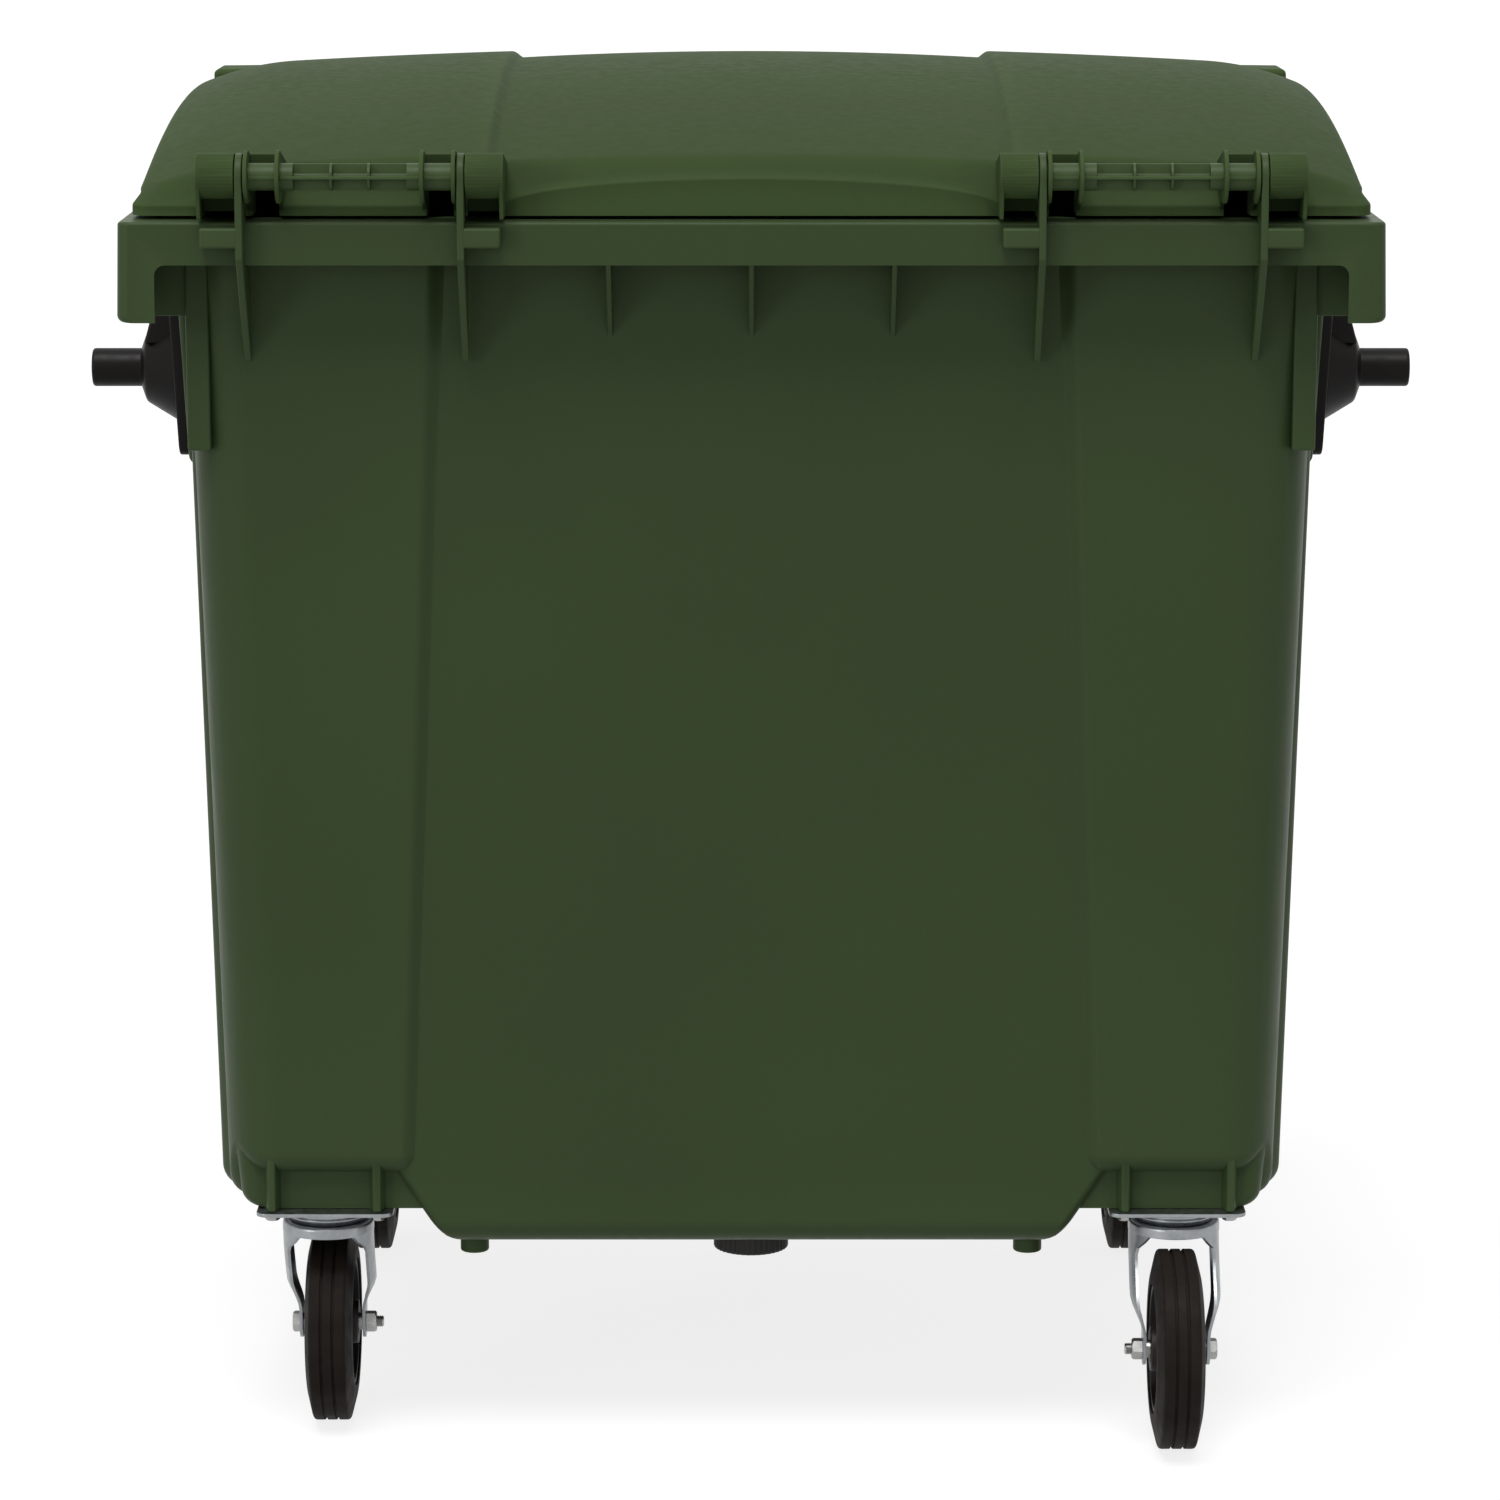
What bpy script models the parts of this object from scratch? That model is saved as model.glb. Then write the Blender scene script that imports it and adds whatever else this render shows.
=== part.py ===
"""A four-wheeled waste container of 1100 litres, with a domed lid hinged along its rear edge.

Metres, +Z up. The origin lies on the floor under the middle of the container. X runs along the
trunnions, and -Y is the hinge side.
"""

import math

import bmesh
import bpy
from mathutils import Matrix, Vector

# Gaps and allowances shared by every piece
CLEARANCE = 0.0003
RUNNING_GAP = 0.001
FLATNESS = 0.000002
FLAT_ANGLE = math.radians(0.05)
OVERRUN = 0.004
SINK = 0.002

# Wheel and tyre
WHEEL_RADIUS = 0.100
TYRE_WIDTH = 0.048
TREAD_WIDTH = 0.036
TREAD_SHOULDER = 0.010
SHOULDER_WIDTH = 0.041
SIDEWALL_DEPTH = 0.024
WHEEL_STEPS = 20
GROOVE_OFFSET = 0.0059
GROOVE_WIDTH = 0.003
GROOVE_DEPTH = 0.0025
RIM_RADIUS = 0.065
RIM_WIDTH = 0.044
RIM_THICKNESS = 0.005
WEB_THICKNESS = 0.006
HUB_RADIUS = 0.022
HUB_WIDTH = 0.052
LIGHTENING_RADIUS = 0.011
LIGHTENING_CIRCLE = 0.041
LIGHTENING_COUNT = 5

# Axle
AXLE_RADIUS = 0.006
SLEEVE_WALL = 0.0027
AXLE_STEPS = 8
AXLE_HEAD_WIDTH = 0.019
AXLE_HEAD_HEIGHT = 0.0075
AXLE_NUT_HEIGHT = 0.0105
AXLE_TIP = 0.007

# Fork
FORK_HEADROOM = 0.0235
FORK_SHEET = 0.003
FORK_INSIDE_WIDTH = 0.061
CROWN_RADIUS = 0.046
CROWN_SKIRT = 0.0165
CROWN_TOP_THICKNESS = 0.005
CROWN_CHAMFER = 0.002
CROWN_STEPS = 20
LEG_TOP_HALF_WIDTH = 0.036
LEG_FOOT_RADIUS = 0.016
LEG_LEVELS = 3
TRAIL = 0.048

# Swivel bearing, top plate and kingpin
BEARING_INNER_RADIUS = 0.030
BEARING_OUTER_RADIUS = 0.043
BEARING_HEIGHT = 0.0134
BEARING_CHAMFER = 0.003
BEARING_STEPS = 16
PLATE_LENGTH = 0.137
PLATE_WIDTH = 0.110
PLATE_THICKNESS = 0.004
PLATE_CORNER = 0.012
PLATE_HOLE_SPACING_X = 0.105
PLATE_HOLE_SPACING_Y = 0.080
PLATE_BOLT_RADIUS = 0.004
PLATE_BOLT_HEAD_WIDTH = 0.013
PLATE_BOLT_HEAD_HEIGHT = 0.0052
PLATE_BOLT_GRIP = 0.012
KINGPIN_RADIUS = 0.010
KINGPIN_HEAD_RADIUS = 0.014
KINGPIN_HEAD_HEIGHT = 0.0117
PIN_STEPS = 12

# Brake pedal on the front casters
PEDAL_PIVOT_RADIUS = 0.003
PEDAL_PIVOT_AHEAD = 0.012
PEDAL_PIVOT_BELOW_TOP = 0.007
EAR_BACK = 0.023
EAR_FRONT = 0.022
PEDAL_SHEET = 0.004
PEDAL_REACH = 0.066
PEDAL_DROP = 0.0185
PEDAL_FLAT_SHARE = 0.48
PEDAL_SHOE_AHEAD = 0.025
PEDAL_SHOE_LENGTH = 0.008
PEDAL_SHOE_GAP = 0.0070

# Where the casters stand
CASTER_SETBACK_X = 0.1097
CASTER_SETBACK_Y = 0.052

# Caster blocks under the tub
BLOCK_HEIGHT = 0.0167
BLOCK_INNER_MARGIN = 0.0229
BLOCK_OUTER_MARGIN = 0.0186
BLOCK_BACK_MARGIN = 0.011
BLOCK_FRONT_MARGIN = -0.021
BLOCK_CORNER = 0.013
BLOCK_RIB_THICKNESS = 0.007
BLOCK_RIB_REACH = 0.0155
BLOCK_RIB_RISE = 0.055

# Tub
TUB_HEIGHT = 0.9805
TUB_WALL = 0.005
TUB_CORNER = 0.060
TUB_FILLET = 0.022
FACE_HALF_DEPTH_LOW = 0.418
FACE_HALF_DEPTH_TOP = 0.468
PANEL_RECESS = 0.010
CREASE_BESIDE_CASTER = 0.0864
CREASE_HALF_WIDTH_TOP = 0.3008
CREASE_SLOPE = 0.020
SIDE_HALF_WIDTH_LOW = 0.5361
SIDE_HALF_WIDTH_TOP = 0.5602
SIDE_STEP = 0.011
SIDE_STEP_SLOPE = 0.020
SIDE_PANEL_HALF_DEPTH = 0.330
COLUMN_LIFT = 0.0265
COLUMN_LIFT_START = 0.063
COLUMN_LIFT_RUN = 0.040

# Hopper-shaped lower centre
HOPPER_DEPTH = 0.054
HOPPER_BESIDE_CASTER = 0.1058
HOPPER_FLARE = 0.0354
HOPPER_FILLET = 0.026
HOPPER_CORNER = 0.012
HOPPER_OVERLAP = 0.0715
HOPPER_PROUD = 0.0003
FOOT_INSET = 0.0411
FOOT_SETBACK = 0.0533
FOOT_RADIUS = 0.0144
FOOT_LENGTH = 0.0185

# Rim
RIM_SIDE_OVERHANG = 0.0418
RIM_FACE_OVERHANG = 0.047
RIM_FLARE = 0.002
RIM_WALL = 0.005
RIM_CORNER = 0.012
END_PLATE_ROUND = 0.007
SKIRT_HEIGHT = 0.041
END_PLATE_HEIGHT = 0.096
END_PLATE_WIDTH = 0.035
NOTCH_CORNER = 0.010
WEB_PLATE_SETBACK = 0.070
GUSSET_HEIGHT = 0.112
GUSSET_SPACING = 0.136
GUSSETS_EACH_SIDE = 1

# Corner posts and trunnion pads
POST_WIDTH = 0.0225
POST_DEPTH = 0.075
POST_HEIGHT = 0.221
POST_SETBACK = 0.013
POST_INSET = 0.0047
PAD_HALF_DEPTH = 0.105
PAD_HEIGHT = 0.260
PAD_BELOW_RIM = 0.039
PAD_STAND_OUT_TOP = 0.034
PAD_STAND_OUT_LOW = 0.026
PAD_SLOPE_HEIGHT = 0.017

# Trunnions
TRUNNION_DROP = 0.1965
TRUNNION_PLATE_HALF_DEPTH = 0.080
TRUNNION_PLATE_UP = 0.0955
TRUNNION_PLATE_DOWN = 0.0885
TRUNNION_PLATE_THICKNESS = 0.012
TRUNNION_PLATE_CORNER = 0.012
TRUNNION_BOSS_RADIUS = 0.056
TRUNNION_COLLAR_RADIUS = 0.036
TRUNNION_NECK_RADIUS = 0.0225
TRUNNION_PIN_RADIUS = 0.020
TRUNNION_BOSS_LENGTH = 0.035
TRUNNION_COLLAR_LENGTH = 0.005
TRUNNION_PIN_LENGTH = 0.052
TRUNNION_CHAMFER = 0.003
TRUNNION_STEPS = 24

# Hinge: rods, lugs of the body, stop tabs
HINGE_RISE = 0.043
HINGE_OVERHANG = 0.001
ROD_RADIUS = 0.013
ROD_CORE_RADIUS = 0.004
ROD_LATTICE_HALF_LENGTH = 0.0536
ROD_FIN_THICKNESS = 0.003
ROD_DISC_THICKNESS = 0.0024
ROD_BAYS = 3
ROD_STEPS = 12
HINGE_CENTRE = 0.3794
LUG_HALF_SPACING = 0.1046
LUG_THICKNESS = 0.007
LUG_RADIUS = 0.0225
LUG_RIB_DROP = 0.180
LUG_SKIRT_DROP = 0.034
CAP_LENGTH = 0.036
CAP_WALL = 0.004
CAP_RADIUS = 0.0225
CAP_MOUTH_DROP = 0.020
CAP_END_GAP = 0.005
CAP_CHEEK_FOOT = 0.012
BOX_PLATE_THICKNESS = 0.004
BOX_PLATE_RADIUS = 0.0255
BOX_WIDTH = 0.034
TAB_LENGTH = 0.034
TAB_HEIGHT = 0.019
TAB_BELOW_RIM = 0.004
TAB_REACH = 0.0235

# Lid
LID_GAP = 0.0035
LID_LIP = 0.010
LID_HEIGHT = 0.124
LID_WALL = 0.0045
LID_SIDE_INSET = 0.0125
LID_REAR_INSET = 0.030
LID_FRONT_OVERHANG = 0.0263
LIP_LEDGE = 0.0095
LIP_WIDTH = 0.012
DOME_SIDE_INSET = 0.0035
DOME_REAR_INSET = 0.035
DOME_FRONT_INSET = 0.0085
CROWN_AHEAD = 0.110
REAR_DROP = 0.0655
FRONT_DROP = 0.053
SIDE_DROP = 0.020
EDGE_DROP = 0.021
EDGE_WIDTH = 0.056
CENTRE_STEP = 0.0071
CENTRE_DROP = 0.0068
CENTRE_HALF_WIDTH = 0.250
CENTRE_STEP_SLOPE = 0.012
LID_CORNER = 0.018
CENTRE_LIP_RISE = 0.026
CENTRE_LIP_HALF_WIDTH = 0.235
PAD_LENGTH = 0.040
PAD_WIDTH = 0.008
PAD_SPACING = 0.600
GRIP_LENGTH = 0.097
GRIP_DEPTH = 0.083
GRIP_WALL = 0.005
GRIP_OUTER_DROP = 0.0168
GRIP_TOP_BELOW_CROWN = 0.029
GRIP_SKIRT = 0.050

# Drain plug
DRAIN_SETBACK = 0.0953
DRAIN_CAP_RADIUS = 0.038
DRAIN_CAP_HEIGHT = 0.024
DRAIN_CAP_CHAMFER = 0.003
DRAIN_NECK_RADIUS = 0.029
DRAIN_NECK_RISE = 0.004
DRAIN_SEAL_THICKNESS = 0.002
DRAIN_FLUTES = 20
DRAIN_FLUTE_DEPTH = 0.0015
DRAIN_HOLE_RADIUS = 0.0035

# Plan sizes that follow from the tub
RIM_HALF_WIDTH = SIDE_HALF_WIDTH_TOP + RIM_SIDE_OVERHANG
RIM_HALF_DEPTH = FACE_HALF_DEPTH_TOP + RIM_FACE_OVERHANG
CASTER_HALF_SPACING_X = SIDE_HALF_WIDTH_LOW - CASTER_SETBACK_X
CASTER_HALF_SPACING_Y = FACE_HALF_DEPTH_LOW - CASTER_SETBACK_Y
CREASE_HALF_WIDTH_LOW = CASTER_HALF_SPACING_X - CREASE_BESIDE_CASTER
HOPPER_HALF_WIDTH = CASTER_HALF_SPACING_X - HOPPER_BESIDE_CASTER
FOOT_HALF_SPACING = HOPPER_HALF_WIDTH - FOOT_INSET

# Heights that follow from the pieces below them
FORK_TOP = 2 * WHEEL_RADIUS + FORK_HEADROOM
BEARING_LOW = FORK_TOP + CLEARANCE
PLATE_LOW = BEARING_LOW + BEARING_HEIGHT + CLEARANCE
PLATE_TOP = PLATE_LOW + PLATE_THICKNESS
BLOCK_LOW = PLATE_TOP + CLEARANCE
TUB_BOTTOM = BLOCK_LOW + BLOCK_HEIGHT
RIM_TOP = TUB_BOTTOM + TUB_HEIGHT
HOPPER_BOTTOM = TUB_BOTTOM - HOPPER_DEPTH
LID_BOTTOM = RIM_TOP + LID_GAP
LID_CROWN = LID_BOTTOM + LID_HEIGHT
HINGE_Z = RIM_TOP + HINGE_RISE
HINGE_Y = -RIM_HALF_DEPTH - HINGE_OVERHANG
TRUNNION_Z = RIM_TOP - TRUNNION_DROP

# Plan sizes of the lid that follow from the rim
LIP_HALF_WIDTH = RIM_HALF_WIDTH - LID_SIDE_INSET
LIP_REAR = RIM_HALF_DEPTH - LID_REAR_INSET
LIP_FRONT = RIM_HALF_DEPTH + LID_FRONT_OVERHANG
DOME_HALF_WIDTH = LIP_HALF_WIDTH - DOME_SIDE_INSET
DOME_REAR = LIP_REAR - DOME_REAR_INSET
DOME_FRONT = LIP_FRONT - DOME_FRONT_INSET

SIDES = (-1, 1)


def clear_scene():
    for obj in list(bpy.data.objects):
        bpy.data.objects.remove(obj, do_unlink=True)


def lerp(low, high, share):
    return low + (high - low) * share


def smooth(share):
    """An S-curve from 0 to 1, flat at both ends."""
    share = min(max(share, 0.0), 1.0)
    return share * share * (3.0 - 2.0 * share)


def arc(centre, radius, start, end, steps):
    """Points on a circle from one angle in degrees to another, both ends included."""
    turns = [math.radians(lerp(start, end, i / steps)) for i in range(steps + 1)]
    return [(centre[0] + radius * math.cos(t), centre[1] + radius * math.sin(t)) for t in turns]


def rounded_rectangle(half_x, half_y, radius, steps):
    """The outline of a rectangle round the origin, with its four corners rounded."""
    points = []
    for x_side, y_side, start in ((1, 1, 0), (-1, 1, 90), (-1, -1, 180), (1, -1, 270)):
        centre = (x_side * (half_x - radius), y_side * (half_y - radius))
        points += arc(centre, radius, start, start + 90, steps)
    return points


def around(radius, steps):
    """The corner radius of a polygon whose flats lie at the given radius."""
    return radius / math.cos(math.pi / steps)


def bore(shaft_radius, steps):
    """The corner radius of a hole that clears a round shaft at whatever angle it stands."""
    return around(shaft_radius + CLEARANCE, steps)


def along(axis, a, b, height):
    """A point from two coordinates across an axis and one along it."""
    if axis == "X":
        return Vector((height, a, b))
    if axis == "Y":
        return Vector((a, height, b))
    return Vector((a, b, height))


def is_flat(face):
    centre = face.calc_center_median()
    return all(abs((vertex.co - centre).dot(face.normal)) < FLATNESS for vertex in face.verts)


def make_object(name, points, faces):
    """A mesh object with every face flat and turned outwards."""
    mesh = bpy.data.meshes.new(name)
    mesh.from_pydata(points, [], faces)
    shape = bmesh.new()
    shape.from_mesh(mesh)
    bmesh.ops.recalc_face_normals(shape, faces=shape.faces)
    bent = [face for face in shape.faces if not is_flat(face)]
    bmesh.ops.triangulate(shape, faces=bent)
    shape.to_mesh(mesh)
    shape.free()
    obj = bpy.data.objects.new(name, mesh)
    bpy.context.scene.collection.objects.link(obj)
    return obj


def loft(name, rings):
    """A closed solid through rings of equally many points, capped at both ends."""
    count = len(rings[0])
    points = [point for ring in rings for point in ring]
    faces = [list(range(count))[::-1]]
    for level in range(len(rings) - 1):
        low = level * count
        for i in range(count):
            j = (i + 1) % count
            faces.append([low + i, low + j, low + count + j, low + count + i])
    faces.append(list(range(len(points) - count, len(points))))
    return make_object(name, points, faces)


def prism(name, outline, axis, start, end):
    """An outline drawn across an axis and extruded along it."""
    return loft(name, [[along(axis, a, b, height) for a, b in outline] for height in (start, end)])


def box(name, low, high):
    outline = [(low[0], low[1]), (high[0], low[1]), (high[0], high[1]), (low[0], high[1])]
    return prism(name, outline, "Z", low[2], high[2])


def revolve(name, profile, axis, steps, centre=(0.0, 0.0, 0.0)):
    """A closed profile of (radius, height) points turned round an axis through the centre."""
    points = []
    rings = []
    for radius, height in profile:
        count = steps if radius > 0 else 1
        rings.append(list(range(len(points), len(points) + count)))
        for i in range(count):
            turn = 2 * math.pi * (i + 0.5) / steps
            offset = along(axis, radius * math.cos(turn), radius * math.sin(turn), height)
            points.append(Vector(centre) + offset)
    faces = []
    for first, second in zip(rings, rings[1:] + rings[:1]):
        if len(first) == 1 and len(second) == 1:
            continue
        for i in range(steps):
            j = (i + 1) % steps
            loop = [first[i % len(first)], first[j % len(first)]]
            loop += [second[j % len(second)], second[i % len(second)]]
            faces.append(list(dict.fromkeys(loop)))
    return make_object(name, points, faces)


def cylinder(name, radius, axis, start, end, steps, centre=(0.0, 0.0, 0.0)):
    return revolve(name, [(0, start), (radius, start), (radius, end), (0, end)], axis, steps, centre)


def combine(base, tools, operation):
    """Apply one exact Boolean between an object and its tools, and remove the tools."""
    helpers = bpy.data.collections.new("tools")
    bpy.context.scene.collection.children.link(helpers)
    for tool in tools:
        helpers.objects.link(tool)
    modifier = base.modifiers.new("combine", "BOOLEAN")
    modifier.operation = operation
    modifier.operand_type = "COLLECTION"
    modifier.collection = helpers
    modifier.solver = "EXACT"
    graph = bpy.context.evaluated_depsgraph_get()
    graph.update()
    result = bpy.data.meshes.new_from_object(base.evaluated_get(graph))
    base.modifiers.clear()
    base.data = result
    for tool in tools:
        bpy.data.objects.remove(tool, do_unlink=True)
    bpy.data.collections.remove(helpers)
    shape = bmesh.new()
    shape.from_mesh(result)
    bmesh.ops.remove_doubles(shape, verts=shape.verts, dist=FLATNESS)
    bmesh.ops.dissolve_degenerate(shape, edges=shape.edges, dist=FLATNESS)
    bmesh.ops.dissolve_limit(shape, angle_limit=FLAT_ANGLE, verts=shape.verts, edges=shape.edges)
    bmesh.ops.triangulate(shape, faces=shape.faces)
    shape.to_mesh(result)
    shape.free()
    return base


def union(base, tools):
    return combine(base, tools, "UNION")


def cut(base, tools):
    return combine(base, tools, "DIFFERENCE")


def material(name, colour, roughness, metallic):
    found = bpy.data.materials.new(name)
    found.use_nodes = True
    shader = found.node_tree.nodes["Principled BSDF"]
    shader.inputs["Base Color"].default_value = (*colour, 1.0)
    shader.inputs["Roughness"].default_value = roughness
    shader.inputs["Metallic"].default_value = metallic
    return found


def dress(obj, name, finish, sharp=35):
    """Name an object, give it its own material and shade its round faces smooth."""
    obj.name = name
    obj.data.name = name
    obj.data.materials.clear()
    obj.data.materials.append(finish)
    obj.data.shade_smooth()
    obj.data.set_sharp_from_angle(angle=math.radians(sharp))
    return obj


def set_origin(obj, point):
    """Move an object's origin to a point without moving its shape."""
    obj.data.transform(Matrix.Translation(-Vector(point)))
    obj.location = point
    return obj


def tub_quarter(z, inset):
    """The tub's plan outline at one height, from the middle of the front face to the side's middle."""
    share = (z - TUB_BOTTOM) / TUB_HEIGHT
    face = lerp(FACE_HALF_DEPTH_LOW, FACE_HALF_DEPTH_TOP, share) - inset
    column = lerp(SIDE_HALF_WIDTH_LOW, SIDE_HALF_WIDTH_TOP, share) - SIDE_STEP - inset
    crease = lerp(CREASE_HALF_WIDTH_LOW, CREASE_HALF_WIDTH_TOP, share)
    radius = max(TUB_CORNER - inset, TUB_WALL)
    points = []
    for step in range(4):
        across = step / 3
        x = crease + CREASE_SLOPE * (across - 0.5)
        points.append((x, face - PANEL_RECESS * (1.0 - smooth(across))))
    points += arc((column - radius, face - radius), radius, 90, 0, 5)
    for step in range(3):
        across = step / 2
        y = SIDE_PANEL_HALF_DEPTH - SIDE_STEP_SLOPE * (across - 0.5)
        points.append((column + SIDE_STEP * smooth(across), y))
    return points


def tub_ring(z, inset):
    """The tub's whole outline at one height, its points lifted under the columns near the floor."""
    quarter = tub_quarter(z, inset)
    outline = quarter + [(x, -y) for x, y in quarter[::-1]]
    outline += [(-x, -y) for x, y in quarter] + [(-x, y) for x, y in quarter[::-1]]
    return outline


def column_lift(y):
    start = FACE_HALF_DEPTH_LOW - COLUMN_LIFT_START
    return COLUMN_LIFT * smooth((abs(y) - start) / COLUMN_LIFT_RUN)


def tub_form(name, inset, top):
    """The tub as a solid, or its hollow when the inset is the wall."""
    bottom = TUB_BOTTOM + inset
    fillet = TUB_FILLET - inset
    levels = [(COLUMN_LIFT_START + SINK, bottom)]
    for turn in (0, 45, 90):
        angle = math.radians(turn)
        levels.append((inset + fillet * (1 - math.sin(angle)), bottom + fillet * (1 - math.cos(angle))))
    rings = [[Vector((x, y, z + column_lift(y))) for x, y in tub_ring(z, deep)] for deep, z in levels]
    rings.append([Vector((x, y, top)) for x, y in tub_ring(top, inset)])
    return loft(name, rings)


def hopper_form(name, inset):
    """The hopper under the tub as a solid, or its hollow when the inset is the wall."""
    bottom = HOPPER_BOTTOM + inset
    fillet = HOPPER_FILLET - inset
    levels = []
    for turn in (0, 30, 60, 90):
        angle = math.radians(turn)
        levels.append((inset + fillet * (1 - math.sin(angle)), bottom + fillet * (1 - math.cos(angle))))
    levels.append((inset, TUB_BOTTOM + TUB_FILLET))
    levels.append((inset, TUB_BOTTOM + HOPPER_OVERLAP))
    rings = []
    for deep, z in levels:
        rise = (z - HOPPER_BOTTOM) / (HOPPER_DEPTH + HOPPER_OVERLAP)
        share = (z - TUB_BOTTOM) / TUB_HEIGHT
        half_x = HOPPER_HALF_WIDTH + HOPPER_FLARE * rise - deep
        panel = lerp(FACE_HALF_DEPTH_LOW, FACE_HALF_DEPTH_TOP, share) - PANEL_RECESS
        proud = HOPPER_PROUD if z < TUB_BOTTOM + HOPPER_OVERLAP else -HOPPER_PROUD
        outline = rounded_rectangle(half_x, panel + proud - deep, max(HOPPER_CORNER - deep, TUB_WALL), 3)
        rings.append([Vector((x, y, z)) for x, y in outline])
    return loft(name, rings)


def rim_form():
    """The rim: a top plate with skirts, deeper at the sides and at both ends of each broad side."""
    rings = []
    hollows = []
    low = RIM_TOP - END_PLATE_HEIGHT
    levels = [(RIM_TOP, RIM_HALF_WIDTH)]
    for turn in (0, 30, 60, 90):
        angle = math.radians(turn)
        z = low + END_PLATE_ROUND * (1.0 - math.sin(angle))
        levels.append((z, RIM_HALF_WIDTH + RIM_FLARE - END_PLATE_ROUND * (1.0 - math.cos(angle))))
    for z, half_x in levels:
        outline = rounded_rectangle(half_x, RIM_HALF_DEPTH, RIM_CORNER, 3)
        rings.append([Vector((x, y, z)) for x, y in outline])
    for z, flare in ((low - OVERRUN, RIM_FLARE), (RIM_TOP - RIM_WALL, 0.0)):
        half_x = RIM_HALF_WIDTH + flare - RIM_WALL
        outline = rounded_rectangle(half_x, RIM_HALF_DEPTH - RIM_WALL, RIM_CORNER - RIM_WALL, 3)
        hollows.append([Vector((x, y, z)) for x, y in outline])
    rim = loft("rim", rings)
    half_notch = RIM_HALF_WIDTH - END_PLATE_WIDTH
    notch_top = RIM_TOP - SKIRT_HEIGHT
    notch_low = low - OVERRUN
    corner = (half_notch - NOTCH_CORNER, notch_top - NOTCH_CORNER)
    outline = [(half_notch, notch_low)] + arc(corner, NOTCH_CORNER, 0, 90, 3)
    outline += [(-x, z) for x, z in outline[::-1]]
    reach = RIM_HALF_DEPTH + OVERRUN
    return cut(rim, [loft("hollow", hollows), prism("notch", outline, "Y", -reach, reach)])


def face_at(z):
    """How far the columns' plane lies from the middle at one height."""
    share = (z - TUB_BOTTOM) / TUB_HEIGHT
    return lerp(FACE_HALF_DEPTH_LOW, FACE_HALF_DEPTH_TOP, share)


def rim_gussets():
    """Triangular plates between the skirt and the recessed panel, front and rear."""
    low = RIM_TOP - GUSSET_HEIGHT
    top = RIM_TOP - RIM_WALL / 2
    skirt = RIM_HALF_DEPTH - RIM_WALL / 2
    wall_top = face_at(top) - PANEL_RECESS - TUB_WALL / 2
    wall_low = face_at(low) - PANEL_RECESS - TUB_WALL / 2
    plates = []
    for side in SIDES:
        outline = [(skirt, top), (skirt, RIM_TOP - SKIRT_HEIGHT), (wall_low, low), (wall_top, top)]
        outline = [(side * y, z) for y, z in outline]
        for place in range(-GUSSETS_EACH_SIDE, GUSSETS_EACH_SIDE + 1):
            x = place * GUSSET_SPACING
            plates.append(prism("gusset", outline, "X", x - RIM_WALL / 2, x + RIM_WALL / 2))
    return plates


def corner_webs():
    """Short plates that tie each corner of the side skirts to the tub."""
    plates = []
    for x_side in SIDES:
        for y_side in SIDES:
            y = y_side * (RIM_HALF_DEPTH - WEB_PLATE_SETBACK)
            inner = SIDE_HALF_WIDTH_TOP - SIDE_STEP - TUB_CORNER / 2
            outer = RIM_HALF_WIDTH - RIM_WALL / 2
            low_x, high_x = sorted((x_side * inner, x_side * outer))
            low = (low_x, y - RIM_WALL / 2, RIM_TOP - END_PLATE_HEIGHT)
            plates.append(box("web", low, (high_x, y + RIM_WALL / 2, RIM_TOP - RIM_WALL / 2)))
    return plates


def corner_posts():
    """Upright posts in the rounded corners under the rim."""
    outer = SIDE_HALF_WIDTH_TOP - SIDE_STEP - POST_INSET
    far = FACE_HALF_DEPTH_TOP - POST_SETBACK
    posts = []
    for x_side in SIDES:
        for y_side in SIDES:
            low_x, high_x = sorted((x_side * outer, x_side * (outer - POST_WIDTH)))
            low_y, high_y = sorted((y_side * far, y_side * (far - POST_DEPTH)))
            top = RIM_TOP - RIM_WALL / 2
            low = RIM_TOP - RIM_WALL - POST_HEIGHT
            posts.append(box("post", (low_x, low_y, low), (high_x, high_y, top)))
    return posts


def side_at(z):
    share = (z - TUB_BOTTOM) / TUB_HEIGHT
    return lerp(SIDE_HALF_WIDTH_LOW, SIDE_HALF_WIDTH_TOP, share)


def pad_face(z):
    """How far the trunnion pad's sloped face lies from the middle at one height."""
    top = RIM_TOP - PAD_BELOW_RIM
    share = (top - z) / PAD_HEIGHT
    return lerp(side_at(top) + PAD_STAND_OUT_TOP, side_at(top - PAD_HEIGHT) + PAD_STAND_OUT_LOW, share)


def trunnion_pad(side, inset):
    """The swelling of the tub's side that carries a trunnion."""
    top = RIM_TOP - PAD_BELOW_RIM
    low = top - PAD_HEIGHT
    shoulder = top - PAD_SLOPE_HEIGHT
    foot = low + PAD_SLOPE_HEIGHT
    root = TUB_WALL / 2 if inset == 0 else TUB_WALL + OVERRUN
    outline = [
        (side_at(top) - root, top - inset),
        (pad_face(shoulder) - inset, shoulder - inset),
        (pad_face(foot) - inset, foot + inset),
        (side_at(low) - root, low + inset),
    ]
    outline = [(side * x, z) for x, z in outline]
    reach = PAD_HALF_DEPTH - inset
    return prism("pad", outline, "Y", -reach, reach)


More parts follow.
